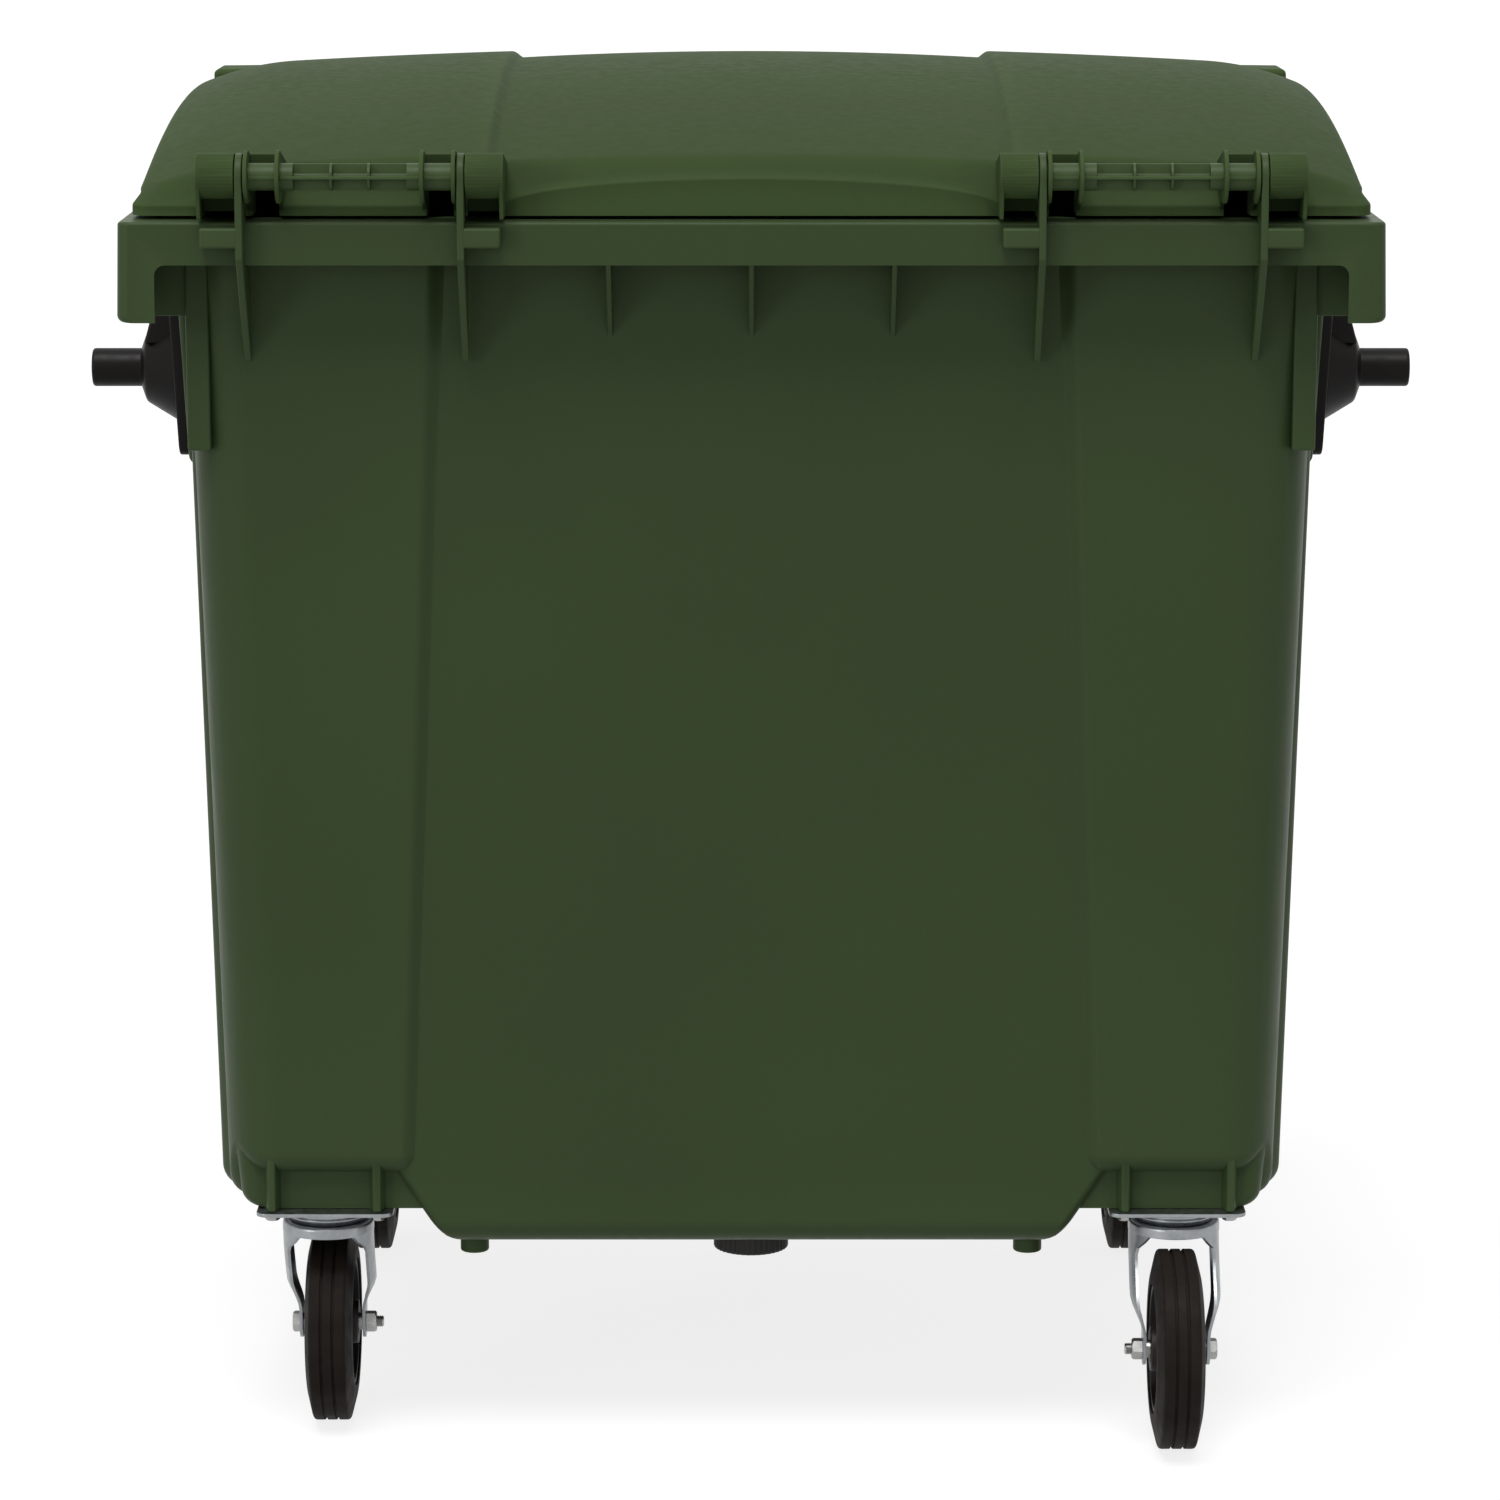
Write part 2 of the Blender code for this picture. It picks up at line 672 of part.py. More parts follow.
def caster_blocks():
    """Flat-bottomed blocks that the casters' plates are bolted to, each with two ribs outside."""
    solids = []
    inner = CASTER_HALF_SPACING_X - PLATE_LENGTH / 2 - BLOCK_INNER_MARGIN
    outer = CASTER_HALF_SPACING_X + PLATE_LENGTH / 2 + BLOCK_OUTER_MARGIN
    back = CASTER_HALF_SPACING_Y - PLATE_WIDTH / 2 - BLOCK_BACK_MARGIN
    front = CASTER_HALF_SPACING_Y + PLATE_WIDTH / 2 + BLOCK_FRONT_MARGIN
    top = TUB_BOTTOM + COLUMN_LIFT + TUB_WALL
    corner = (outer - BLOCK_CORNER, BLOCK_LOW + BLOCK_CORNER)
    outline = [(inner, top), (inner, BLOCK_LOW)] + arc(corner, BLOCK_CORNER, 270, 360, 3)
    outline.append((outer, top))
    for x_side in SIDES:
        for y_side in SIDES:
            low_y, high_y = sorted((y_side * back, y_side * front))
            shape = [(x_side * x, z) for x, z in outline]
            solids.append(prism("block", shape, "Y", low_y, high_y))
            for offset in SIDES:
                x = x_side * (CASTER_HALF_SPACING_X + offset * PLATE_HOLE_SPACING_X / 2)
                reach = y_side * (front + BLOCK_RIB_REACH)
                root = y_side * (front - SINK)
                low_y, high_y = sorted((root, reach))
                low = (x - BLOCK_RIB_THICKNESS / 2, low_y, BLOCK_LOW)
                high = (x + BLOCK_RIB_THICKNESS / 2, high_y, BLOCK_LOW + BLOCK_RIB_RISE)
                solids.append(box("block_rib", low, high))
    return solids


def lug_places():
    """The middle of each hinge lug along X, with the side of the hinge that it closes."""
    return [
        (side * (HINGE_CENTRE + end * LUG_HALF_SPACING), side * end)
        for side in SIDES
        for end in SIDES
    ]


def hinge_lugs():
    """Plates with a round head over the hinge axis, which run down the tub as ribs."""
    rear = HINGE_Y - LUG_RADIUS
    low = RIM_TOP - LUG_RIB_DROP + SKIRT_HEIGHT
    outline = arc((HINGE_Y, HINGE_Z), LUG_RADIUS, 0, 180, 6)
    outline.append((rear, RIM_TOP - LUG_SKIRT_DROP))
    outline.append((-face_at(low) + TUB_WALL / 2, low))
    outline.append((-face_at(RIM_TOP) + TUB_WALL / 2, RIM_TOP - RIM_WALL / 2))
    outline.append((HINGE_Y + LUG_RADIUS, RIM_TOP - RIM_WALL / 2))
    return [
        prism("lug", outline, "X", x - LUG_THICKNESS / 2, x + LUG_THICKNESS / 2)
        for x, _ in lug_places()
    ]


def stop_tabs():
    """Tabs on the rear skirt under the lid's end caps, which stop the lid when it is thrown back."""
    tabs = []
    for x, outward in lug_places():
        start = x + outward * (LUG_THICKNESS / 2 - SINK)
        low_x, high_x = sorted((start, x + outward * (LUG_THICKNESS / 2 + TAB_LENGTH)))
        top = RIM_TOP - TAB_BELOW_RIM
        low = (low_x, -RIM_HALF_DEPTH - TAB_REACH, top - TAB_HEIGHT)
        tabs.append(box("tab", low, (high_x, -RIM_HALF_DEPTH + RIM_WALL / 2, top)))
    return tabs


def caster_places():
    """Each caster's name, swivel point and heading in degrees."""
    return [
        ("rear_left", (-CASTER_HALF_SPACING_X, -CASTER_HALF_SPACING_Y), 0),
        ("rear_right", (CASTER_HALF_SPACING_X, -CASTER_HALF_SPACING_Y), 180),
        ("front_left", (-CASTER_HALF_SPACING_X, CASTER_HALF_SPACING_Y), 180),
        ("front_right", (CASTER_HALF_SPACING_X, CASTER_HALF_SPACING_Y), 180),
    ]


def plate_holes():
    """The four bolt places round a caster's swivel axis."""
    half_x = PLATE_HOLE_SPACING_X / 2
    half_y = PLATE_HOLE_SPACING_Y / 2
    return [(x_side * half_x, y_side * half_y) for x_side in SIDES for y_side in SIDES]


def container_body(finish):
    """The whole moulded body: tub, hopper, rim, ribs, lugs, pads, blocks and feet."""
    body = tub_form("container_body", 0.0, RIM_TOP - RIM_WALL / 2)
    features = [rim_form(), hopper_form("hopper", 0.0)]
    features += rim_gussets() + corner_webs() + corner_posts()
    features += [trunnion_pad(side, 0.0) for side in SIDES]
    features += caster_blocks() + hinge_lugs() + stop_tabs()
    foot_y = -(FACE_HALF_DEPTH_LOW - PANEL_RECESS - FOOT_SETBACK)
    for side in SIDES:
        place = (side * FOOT_HALF_SPACING, foot_y, HOPPER_BOTTOM)
        features.append(cylinder("foot", FOOT_RADIUS, "Z", -FOOT_LENGTH, TUB_WALL / 2, PIN_STEPS, place))
    union(body, features)
    hollows = [tub_form("tub_hollow", TUB_WALL, RIM_TOP + OVERRUN), hopper_form("hopper_hollow", TUB_WALL)]
    hollows += [trunnion_pad(side, TUB_WALL) for side in SIDES]
    hollows.append(drain_hole())
    for x, _ in lug_places():
        reach = LUG_THICKNESS / 2 + OVERRUN / 8
        place = (x, HINGE_Y, HINGE_Z)
        hollows.append(cylinder("lug_bore", bore(ROD_RADIUS, ROD_STEPS), "X", -reach, reach, ROD_STEPS, place))
    for _, swivel, _ in caster_places():
        for x, y in plate_holes():
            place = (swivel[0] + x, swivel[1] + y, 0.0)
            top = BLOCK_LOW + PLATE_BOLT_GRIP + SINK
            radius = bore(PLATE_BOLT_RADIUS, AXLE_STEPS)
            hollows.append(cylinder("screw_hole", radius, "Z", BLOCK_LOW - OVERRUN, top, AXLE_STEPS, place))
    cut(body, hollows)
    return dress(body, "container_body", finish)


def drain_place():
    return (0.0, -(FACE_HALF_DEPTH_LOW - PANEL_RECESS - DRAIN_SETBACK), HOPPER_BOTTOM)


def drain_hole():
    radius = bore(DRAIN_NECK_RADIUS, CROWN_STEPS)
    place = drain_place()
    return cylinder("drain_hole", radius, "Z", -OVERRUN, TUB_WALL + OVERRUN, CROWN_STEPS, place)


def drain_plug(finish):
    """A fluted cap with a neck that passes through the hopper's floor."""
    place = drain_place()
    top = -2 * CLEARANCE - DRAIN_SEAL_THICKNESS
    profile = [
        (0, top - DRAIN_CAP_HEIGHT),
        (DRAIN_CAP_RADIUS - DRAIN_CAP_CHAMFER, top - DRAIN_CAP_HEIGHT),
        (DRAIN_CAP_RADIUS, top - DRAIN_CAP_HEIGHT + DRAIN_CAP_CHAMFER),
        (DRAIN_CAP_RADIUS, top),
        (DRAIN_NECK_RADIUS, top),
        (DRAIN_NECK_RADIUS, TUB_WALL + DRAIN_NECK_RISE),
        (0, TUB_WALL + DRAIN_NECK_RISE),
    ]
    plug = revolve("drain_plug", profile, "Z", 2 * DRAIN_FLUTES, place)
    wide = DRAIN_CAP_RADIUS - SINK
    for index, vertex in enumerate(plug.data.vertices):
        offset = vertex.co - Vector(place)
        if offset.xy.length > wide and index % 2:
            offset.xy *= (DRAIN_CAP_RADIUS - DRAIN_FLUTE_DEPTH) / DRAIN_CAP_RADIUS
            vertex.co = Vector(place) + offset
    side_hole = cylinder(
        "side_hole", DRAIN_HOLE_RADIUS, "Y", -DRAIN_CAP_RADIUS - OVERRUN, -DRAIN_NECK_RADIUS, AXLE_STEPS,
        (place[0], place[1], place[2] + top - DRAIN_CAP_HEIGHT / 2),
    )
    cut(plug, [side_hole])
    return set_origin(dress(plug, "drain_plug", finish), place)


def drain_seal(finish):
    place = drain_place()
    inner = bore(DRAIN_NECK_RADIUS, CROWN_STEPS)
    outer = DRAIN_CAP_RADIUS - DRAIN_CAP_CHAMFER
    top = -CLEARANCE
    low = top - DRAIN_SEAL_THICKNESS
    profile = [(inner, low), (outer, low), (outer, top), (inner, top)]
    seal = revolve("drain_seal", profile, "Z", CROWN_STEPS, place)
    return dress(seal, "drain_seal", finish)


def trunnion(name, side, finish):
    """A base plate on the sloped pad, with a stepped boss and a pin for the lifting arms."""
    middle = TRUNNION_Z + (TRUNNION_PLATE_UP - TRUNNION_PLATE_DOWN) / 2
    half_height = (TRUNNION_PLATE_UP + TRUNNION_PLATE_DOWN) / 2
    outline = rounded_rectangle(TRUNNION_PLATE_HALF_DEPTH, half_height, TRUNNION_PLATE_CORNER, 3)
    rings = []
    for height in (CLEARANCE, CLEARANCE + TRUNNION_PLATE_THICKNESS):
        rings.append([Vector((side * (pad_face(middle + z) + height), y, middle + z)) for y, z in outline])
    plate = loft(name, rings)
    base = pad_face(TRUNNION_Z) + CLEARANCE + TRUNNION_PLATE_THICKNESS / 2
    face = base + TRUNNION_PLATE_THICKNESS / 2
    collar = face + TRUNNION_BOSS_LENGTH
    neck = collar + TRUNNION_COLLAR_LENGTH
    tip = neck + TRUNNION_PIN_LENGTH
    profile = [
        (0, base),
        (TRUNNION_BOSS_RADIUS, base),
        (TRUNNION_BOSS_RADIUS, face + SINK),
        (TRUNNION_COLLAR_RADIUS, collar),
        (TRUNNION_NECK_RADIUS, neck),
        (TRUNNION_PIN_RADIUS, neck),
        (TRUNNION_PIN_RADIUS, tip - TRUNNION_CHAMFER),
        (TRUNNION_PIN_RADIUS - TRUNNION_CHAMFER, tip),
        (0, tip),
    ]
    profile = [(radius, side * x) for radius, x in profile]
    boss = revolve("boss", profile, "X", TRUNNION_STEPS, (0.0, 0.0, TRUNNION_Z))
    return dress(union(plate, [boss]), name, finish)


def rod_ends():
    """The two ends of a hinge rod, measured from the middle of its hinge."""
    reach = LUG_HALF_SPACING + LUG_THICKNESS / 2 + RUNNING_GAP + CAP_LENGTH - CAP_WALL - CAP_END_GAP
    return reach, ROD_LATTICE_HALF_LENGTH


def hinge_rod(name, side, finish):
    """A rod with round journals and a cross-shaped middle stiffened by discs."""
    reach, lattice = rod_ends()
    profile = [(0, -reach), (ROD_RADIUS, -reach), (ROD_RADIUS, -lattice), (ROD_CORE_RADIUS, -lattice)]
    for index in range(1, ROD_BAYS):
        middle = lerp(-lattice, lattice, index / ROD_BAYS)
        for radius, edge in ((ROD_CORE_RADIUS, -1), (ROD_RADIUS, -1), (ROD_RADIUS, 1), (ROD_CORE_RADIUS, 1)):
            profile.append((radius, middle + edge * ROD_DISC_THICKNESS / 2))
    profile += [(ROD_CORE_RADIUS, lattice), (ROD_RADIUS, lattice), (ROD_RADIUS, reach), (0, reach)]
    place = (side * HINGE_CENTRE, HINGE_Y, HINGE_Z)
    rod = revolve(name, profile, "X", ROD_STEPS, place)
    fins = []
    tall = ROD_RADIUS - SINK / 2
    thin = ROD_FIN_THICKNESS / 2
    for half_y, half_z in ((tall, thin), (thin, tall)):
        low = (place[0] - lattice - SINK, HINGE_Y - half_y, HINGE_Z - half_z)
        high = (place[0] + lattice + SINK, HINGE_Y + half_y, HINGE_Z + half_z)
        fins.append(box("fin", low, high))
    return set_origin(dress(union(rod, fins), name, finish), place)


def lid_columns():
    """Grid lines of the lid across X, closer at the steps and at the rounded edges."""
    step = CENTRE_STEP_SLOPE / 2
    half = [0.0, CENTRE_HALF_WIDTH / 2, CENTRE_HALF_WIDTH - step, CENTRE_HALF_WIDTH + step]
    middle = DOME_HALF_WIDTH - EDGE_WIDTH
    half += [lerp(CENTRE_HALF_WIDTH, middle, 0.5), middle]
    half += [middle + EDGE_WIDTH * share for share in (0.4, 0.7, 1.0)]
    return [-x for x in half[:0:-1]] + half


def lid_rows():
    """Grid lines of the lid across Y, from the hinge to the front."""
    rows = [lerp(-DOME_REAR, CROWN_AHEAD, share) for share in (0, 0.15, 0.35, 0.65, 1)]
    edge = DOME_FRONT - EDGE_WIDTH
    rows += [lerp(CROWN_AHEAD, edge, share) for share in (0.5, 1)]
    return rows + [edge + EDGE_WIDTH * share for share in (0.4, 0.7, 1.0)]


def lid_surface(x, y):
    """The height of the lid's outer surface."""
    if y < CROWN_AHEAD:
        z = LID_CROWN - REAR_DROP * ((CROWN_AHEAD - y) / (CROWN_AHEAD + DOME_REAR)) ** 2
    else:
        z = LID_CROWN - FRONT_DROP * ((y - CROWN_AHEAD) / (DOME_FRONT - CROWN_AHEAD)) ** 2
    z -= SIDE_DROP * (x / DOME_HALF_WIDTH) ** 2
    inside = 1.0 - smooth((abs(x) - CENTRE_HALF_WIDTH) / CENTRE_STEP_SLOPE + 0.5)
    bulge = CENTRE_DROP * (1.0 - (x / CENTRE_HALF_WIDTH) ** 2)
    z -= inside * (CENTRE_STEP - bulge / 2)
    z -= EDGE_DROP * max(0.0, 1.0 - (DOME_HALF_WIDTH - abs(x)) / EDGE_WIDTH) ** 2
    z -= EDGE_DROP * max(0.0, 1.0 - (DOME_FRONT - y) / EDGE_WIDTH) ** 2
    return z


def lid_solid(name, wall, levels):
    """A solid under the lid's surface, lowered and drawn in by a wall, closed through its border's levels."""
    columns = lid_columns()
    rows = lid_rows()
    wide = len(columns)
    points = []
    corner = LID_CORNER * (1.0 - math.cos(math.radians(45)))
    for j, y in enumerate(rows):
        y_side = (j == 0) - (j == len(rows) - 1)
        for i, x in enumerate(columns):
            x_side = (i == 0) - (i == wide - 1)
            rounding = corner if x_side and y_side else 0.0
            inner_x = x + x_side * (wall + rounding)
            points.append(Vector((inner_x, y + y_side * (wall + rounding), lid_surface(x, y) - wall)))
    faces = []
    for j in range(len(rows) - 1):
        for i in range(wide - 1):
            a = j * wide + i
            faces.append([a, a + 1, a + wide + 1, a + wide])
    border = list(range(wide))
    border += [j * wide + wide - 1 for j in range(1, len(rows))]
    border += [(len(rows) - 1) * wide + i for i in range(wide - 2, -1, -1)]
    border += [j * wide for j in range(len(rows) - 2, 0, -1)]
    rings = [border]
    for half_width, rear, front, height in levels:
        ring = []
        for index in border:
            x = points[index].x * half_width / (DOME_HALF_WIDTH - wall)
            share = (points[index].y + DOME_REAR - wall) / (DOME_FRONT + DOME_REAR - 2 * wall)
            y = lerp(-rear, front, share)
            ring.append(len(points))
            points.append(Vector((x, y, height(x, y))))
        rings.append(ring)
    for first, second in zip(rings, rings[1:]):
        for i in range(len(border)):
            j = (i + 1) % len(border)
            faces.append([first[i], first[j], second[j], second[i]])
    faces.append(rings[-1])
    return make_object(name, points, faces)


def lip_height(x, y):
    """The top of the lip, which arches up over the middle of the rear edge."""
    arch = max(0.0, 1.0 - (x / CENTRE_LIP_HALF_WIDTH) ** 2)
    rise = CENTRE_LIP_RISE * math.sqrt(arch) if y < 0 else 0.0
    return LID_BOTTOM + LID_LIP + rise


def ledge_height(x, y):
    """The foot of the dome's wall, above the lip."""
    ledge = LID_BOTTOM + LID_LIP + LIP_LEDGE
    return max(ledge, lip_height(x, y) + LIP_LEDGE / 2)


def lid_outside():
    wall_half_width = lerp(DOME_HALF_WIDTH, LIP_HALF_WIDTH, 0.5)
    levels = [
        (wall_half_width, lerp(DOME_REAR, LIP_REAR, 0.5), DOME_FRONT + LID_WALL, ledge_height),
        (LIP_HALF_WIDTH, LIP_REAR, LIP_FRONT, lip_height),
        (LIP_HALF_WIDTH, LIP_REAR, LIP_FRONT, lambda x, y: LID_BOTTOM),
    ]
    return lid_solid("lid", 0.0, levels)


def lid_inside():
    half_width = LIP_HALF_WIDTH - LIP_WIDTH
    levels = [(half_width, DOME_REAR - LID_WALL, DOME_FRONT - LID_WALL, lambda x, y: LID_BOTTOM - OVERRUN)]
    return lid_solid("lid_hollow", LID_WALL, levels)


def hinge_outline(points):
    """Turn points written from the hinge axis, forwards and up, into the lid's side view."""
    return [(HINGE_Y + y, HINGE_Z + z) for y, z in points]


def shelf_corner():
    """Where the hinge arms meet the top of the lid's rear edge, from the hinge axis."""
    y = -DOME_REAR + LID_WALL - HINGE_Y
    z = lid_surface(HINGE_CENTRE, -DOME_REAR) - HINGE_Z - SINK / 2
    return y, z


def cap_outline():
    """A hook over the rod: closed in front, on top and behind, open below."""
    mouth = 180 + math.degrees(math.asin(CAP_MOUTH_DROP / CAP_RADIUS))
    top_y, top_z = shelf_corner()
    low_z = LID_BOTTOM - HINGE_Z + LID_LIP / 2
    inner = CAP_RADIUS - CAP_WALL
    outline = arc((0.0, 0.0), CAP_RADIUS, mouth, 90, 6)
    outline += [(top_y, top_z), (top_y - SINK, low_z), (CAP_RADIUS, low_z)]
    outline += arc((0.0, 0.0), inner, -30, mouth, 7)
    return hinge_outline(outline)


def cap_end_outline():
    """The end of a cap beside its lug, cut off level with the cap's mouth."""
    mouth = math.degrees(math.asin(CAP_MOUTH_DROP / CAP_RADIUS))
    outline = arc((0.0, 0.0), CAP_RADIUS, -mouth, 180 + mouth, 9)
    return hinge_outline(outline)


def cap_cheek_outline():
    """The far end of a cap, which reaches down to the foot of the lid."""
    top_y, top_z = shelf_corner()
    low_z = LID_BOTTOM - HINGE_Z
    outline = arc((0.0, 0.0), CAP_RADIUS, 90, 180, 4)
    outline += [(-CAP_CHEEK_FOOT, low_z), (LID_REAR_INSET + LID_LIP, low_z), (top_y - SINK, low_z), (top_y, top_z)]
    return hinge_outline(outline)


def box_plate_outline():
    """A plate round the rod with an arm to the lid's rear edge."""
    top_y, top_z = shelf_corner()
    low_z = LID_BOTTOM - HINGE_Z
    outline = arc((0.0, 0.0), BOX_PLATE_RADIUS, 70, 300, 9)
    outline += [(LID_REAR_INSET + LID_LIP, low_z), (top_y - SINK, low_z), (top_y, top_z)]
    return hinge_outline(outline)


def lid_knuckles():
    """Two end caps and two plate boxes on each hinge, with the bores for the rods."""
    solids = []
    bores = []
    radius = bore(ROD_RADIUS, ROD_STEPS)
    for x, outward in lug_places():
        start = x + outward * (LUG_THICKNESS / 2 + RUNNING_GAP)
        end = start + outward * CAP_LENGTH
        solids.append(prism("cap", cap_outline(), "X", *sorted((start, end))))
        inner_end = start + outward * CAP_WALL
        outer_end = end - outward * CAP_WALL
        solids.append(prism("cap_end", cap_end_outline(), "X", *sorted((start, inner_end))))
        solids.append(prism("cap_cheek", cap_cheek_outline(), "X", *sorted((outer_end, end))))
        near = x - outward * (LUG_THICKNESS / 2 + RUNNING_GAP)
        far = near - outward * BOX_WIDTH
        for face, inward in ((near, -outward), (far, outward)):
            plate = sorted((face, face + inward * BOX_PLATE_THICKNESS))
            solids.append(prism("box_plate", box_plate_outline(), "X", *plate))
        reach = sorted((far - outward * SINK, start + outward * (CAP_WALL + SINK)))
        place = (0.0, HINGE_Y, HINGE_Z)
        bores.append(cylinder("rod_bore", radius, "X", reach[0], reach[1], ROD_STEPS, place))
    return solids, bores


def rest_pads():
    """Small pads under the lip that carry the closed lid on the rim."""
    pads = []
    middle_x = LIP_HALF_WIDTH - LIP_WIDTH / 2
    for x_side in SIDES:
        for y_side in SIDES:
            x = x_side * middle_x
            y = y_side * PAD_SPACING / 2
            low = (x - PAD_WIDTH / 2, y - PAD_LENGTH / 2, RIM_TOP + CLEARANCE)
            high = (x + PAD_WIDTH / 2, y + PAD_LENGTH / 2, LID_BOTTOM + LID_LIP / 2)
            pads.append(box("rest_pad", low, high))
    return pads


def grip_hood(side):
    """A raised hood at a front corner, open to the front for the fingers."""
    outer = RIM_HALF_WIDTH
    inner = outer - GRIP_LENGTH
    top_inner = LID_CROWN - GRIP_TOP_BELOW_CROWN
    top_outer = top_inner - GRIP_OUTER_DROP
    low = top_outer - GRIP_SKIRT
    outline = [(inner, low), (outer, low), (outer, top_outer), (inner, top_inner)]
    outline = [(side * x, z) for x, z in outline]
    hood = prism("grip", outline, "Y", LIP_FRONT - GRIP_DEPTH, LIP_FRONT)
    pocket = [
        (inner + GRIP_WALL, low - OVERRUN),
        (outer - GRIP_WALL, low - OVERRUN),
        (outer - GRIP_WALL, top_outer - GRIP_WALL),
        (inner + GRIP_WALL, top_inner - GRIP_WALL),
    ]
    pocket = [(side * x, z) for x, z in pocket]
    start = LIP_FRONT - GRIP_DEPTH + GRIP_WALL
    return cut(hood, [prism("pocket", pocket, "Y", start, LIP_FRONT + OVERRUN)])


def lid(finish):
    shell = lid_outside()
    knuckles, bores = lid_knuckles()
    union(shell, knuckles + rest_pads() + [grip_hood(side) for side in SIDES])
    cut(shell, bores + [lid_inside()])
    return set_origin(dress(shell, "lid", finish), (0.0, HINGE_Y, HINGE_Z))


def tyre_mesh(finish):
    """A tyre round the wheel's axle, with two grooves in its tread."""
    steps = WHEEL_STEPS
    tread = around(WHEEL_RADIUS, steps)
    grooved = around(WHEEL_RADIUS - GROOVE_DEPTH, steps)
    seat = around(RIM_RADIUS + CLEARANCE, steps)
    shoulder = around(WHEEL_RADIUS - TREAD_SHOULDER, steps)
    sidewall = around(WHEEL_RADIUS - SIDEWALL_DEPTH, steps)
    half = [
        (seat, TYRE_WIDTH / 2),
        (sidewall, TYRE_WIDTH / 2),
        (shoulder, SHOULDER_WIDTH / 2),
        (tread, TREAD_WIDTH / 2),
        (tread, GROOVE_OFFSET + GROOVE_WIDTH / 2),
        (grooved, GROOVE_OFFSET + GROOVE_WIDTH / 2),
        (grooved, GROOVE_OFFSET - GROOVE_WIDTH / 2),
        (tread, GROOVE_OFFSET - GROOVE_WIDTH / 2),
    ]
    profile = half + [(radius, -x) for radius, x in half[::-1]]
    return dress(revolve("tyre", profile, "X", steps), "tyre", finish)


def wheel_mesh(finish):
    """A wheel with a hub, a web with round holes and a rim for the tyre."""
    steps = WHEEL_STEPS
    hole = around(AXLE_RADIUS + CLEARANCE + SLEEVE_WALL + CLEARANCE, steps)
    outer = around(RIM_RADIUS, steps)
    inner = around(RIM_RADIUS - RIM_THICKNESS, steps)
    half = [
        (hole, HUB_WIDTH / 2),
        (HUB_RADIUS, HUB_WIDTH / 2),
        (HUB_RADIUS, WEB_THICKNESS / 2),
        (inner, WEB_THICKNESS / 2),
        (inner, RIM_WIDTH / 2),
        (outer, RIM_WIDTH / 2),
    ]
    profile = half + [(radius, -x) for radius, x in half[::-1]]
    wheel = revolve("wheel", profile, "X", steps)
    holes = []
    for index in range(LIGHTENING_COUNT):
        turn = 2 * math.pi * (index + 0.5) / LIGHTENING_COUNT
        place = (0.0, LIGHTENING_CIRCLE * math.cos(turn), LIGHTENING_CIRCLE * math.sin(turn))
        holes.append(
            cylinder("hole", LIGHTENING_RADIUS, "X", -WEB_THICKNESS, WEB_THICKNESS, AXLE_STEPS, place)
        )
    return dress(cut(wheel, holes), "wheel", finish)


def axle_sleeve_mesh(finish):
    inner = bore(AXLE_RADIUS, AXLE_STEPS)
    outer = AXLE_RADIUS + CLEARANCE + SLEEVE_WALL
    half = FORK_INSIDE_WIDTH / 2 - CLEARANCE
    profile = [(inner, half), (outer, half), (outer, -half), (inner, -half)]
    return dress(revolve("axle_sleeve", profile, "X", AXLE_STEPS), "axle_sleeve", finish)


def hex_radius(width):
    """The corner radius of a hexagon from its width across flats."""
    return around(width / 2, 6)


def axle_bolt_mesh(finish):
    """A bolt from outside one fork leg to past the nut on the other."""
    face = FORK_INSIDE_WIDTH / 2 + FORK_SHEET + CLEARANCE
    end = face + AXLE_NUT_HEIGHT + AXLE_TIP
    shank = cylinder("shank", AXLE_RADIUS, "X", -face - SINK, end, AXLE_STEPS)
    radius = hex_radius(AXLE_HEAD_WIDTH)
    head = cylinder("axle_bolt", radius, "X", -face - AXLE_HEAD_HEIGHT, -face, 6)
    return dress(union(head, [shank]), "axle_bolt", finish)


def axle_nut_mesh(finish):
    face = FORK_INSIDE_WIDTH / 2 + FORK_SHEET + CLEARANCE
    radius = hex_radius(AXLE_HEAD_WIDTH)
    nut = cylinder("axle_nut", radius, "X", face, face + AXLE_NUT_HEIGHT, 6)
    hole = bore(AXLE_RADIUS, AXLE_STEPS)
    start = face - OVERRUN
    thread = cylinder("thread", hole, "X", start, face + AXLE_NUT_HEIGHT + OVERRUN, AXLE_STEPS)
    return dress(cut(nut, [thread]), "axle_nut", finish)


def fork_leg(side):
    """A leg pressed out of the round crown, which flattens towards the axle."""
    crown = CROWN_RADIUS - CLEARANCE
    flat = FORK_INSIDE_WIDTH / 2 + FORK_SHEET
    top = FORK_TOP - CROWN_TOP_THICKNESS / 2
    bend_end = WHEEL_RADIUS + LEG_FOOT_RADIUS
    levels = [(top, 0.0)]
    for i in range(LEG_LEVELS + 1):
        share = i / LEG_LEVELS
        levels.append((lerp(FORK_TOP - CROWN_SKIRT, bend_end, share), share))
    levels.append((WHEEL_RADIUS, 1.0))
    rings = []
    for z, share in levels:
        half = lerp(LEG_TOP_HALF_WIDTH, LEG_FOOT_RADIUS, smooth(share))
        rings.append(leg_ring(side, z, TRAIL * smooth(share), half, smooth(share), crown, flat))
    for turn in (45, 80):
        angle = math.radians(turn)
        z = WHEEL_RADIUS - LEG_FOOT_RADIUS * math.sin(angle)
        rings.append(leg_ring(side, z, TRAIL, LEG_FOOT_RADIUS * math.cos(angle), 1.0, crown, flat))
    return loft("leg", rings)


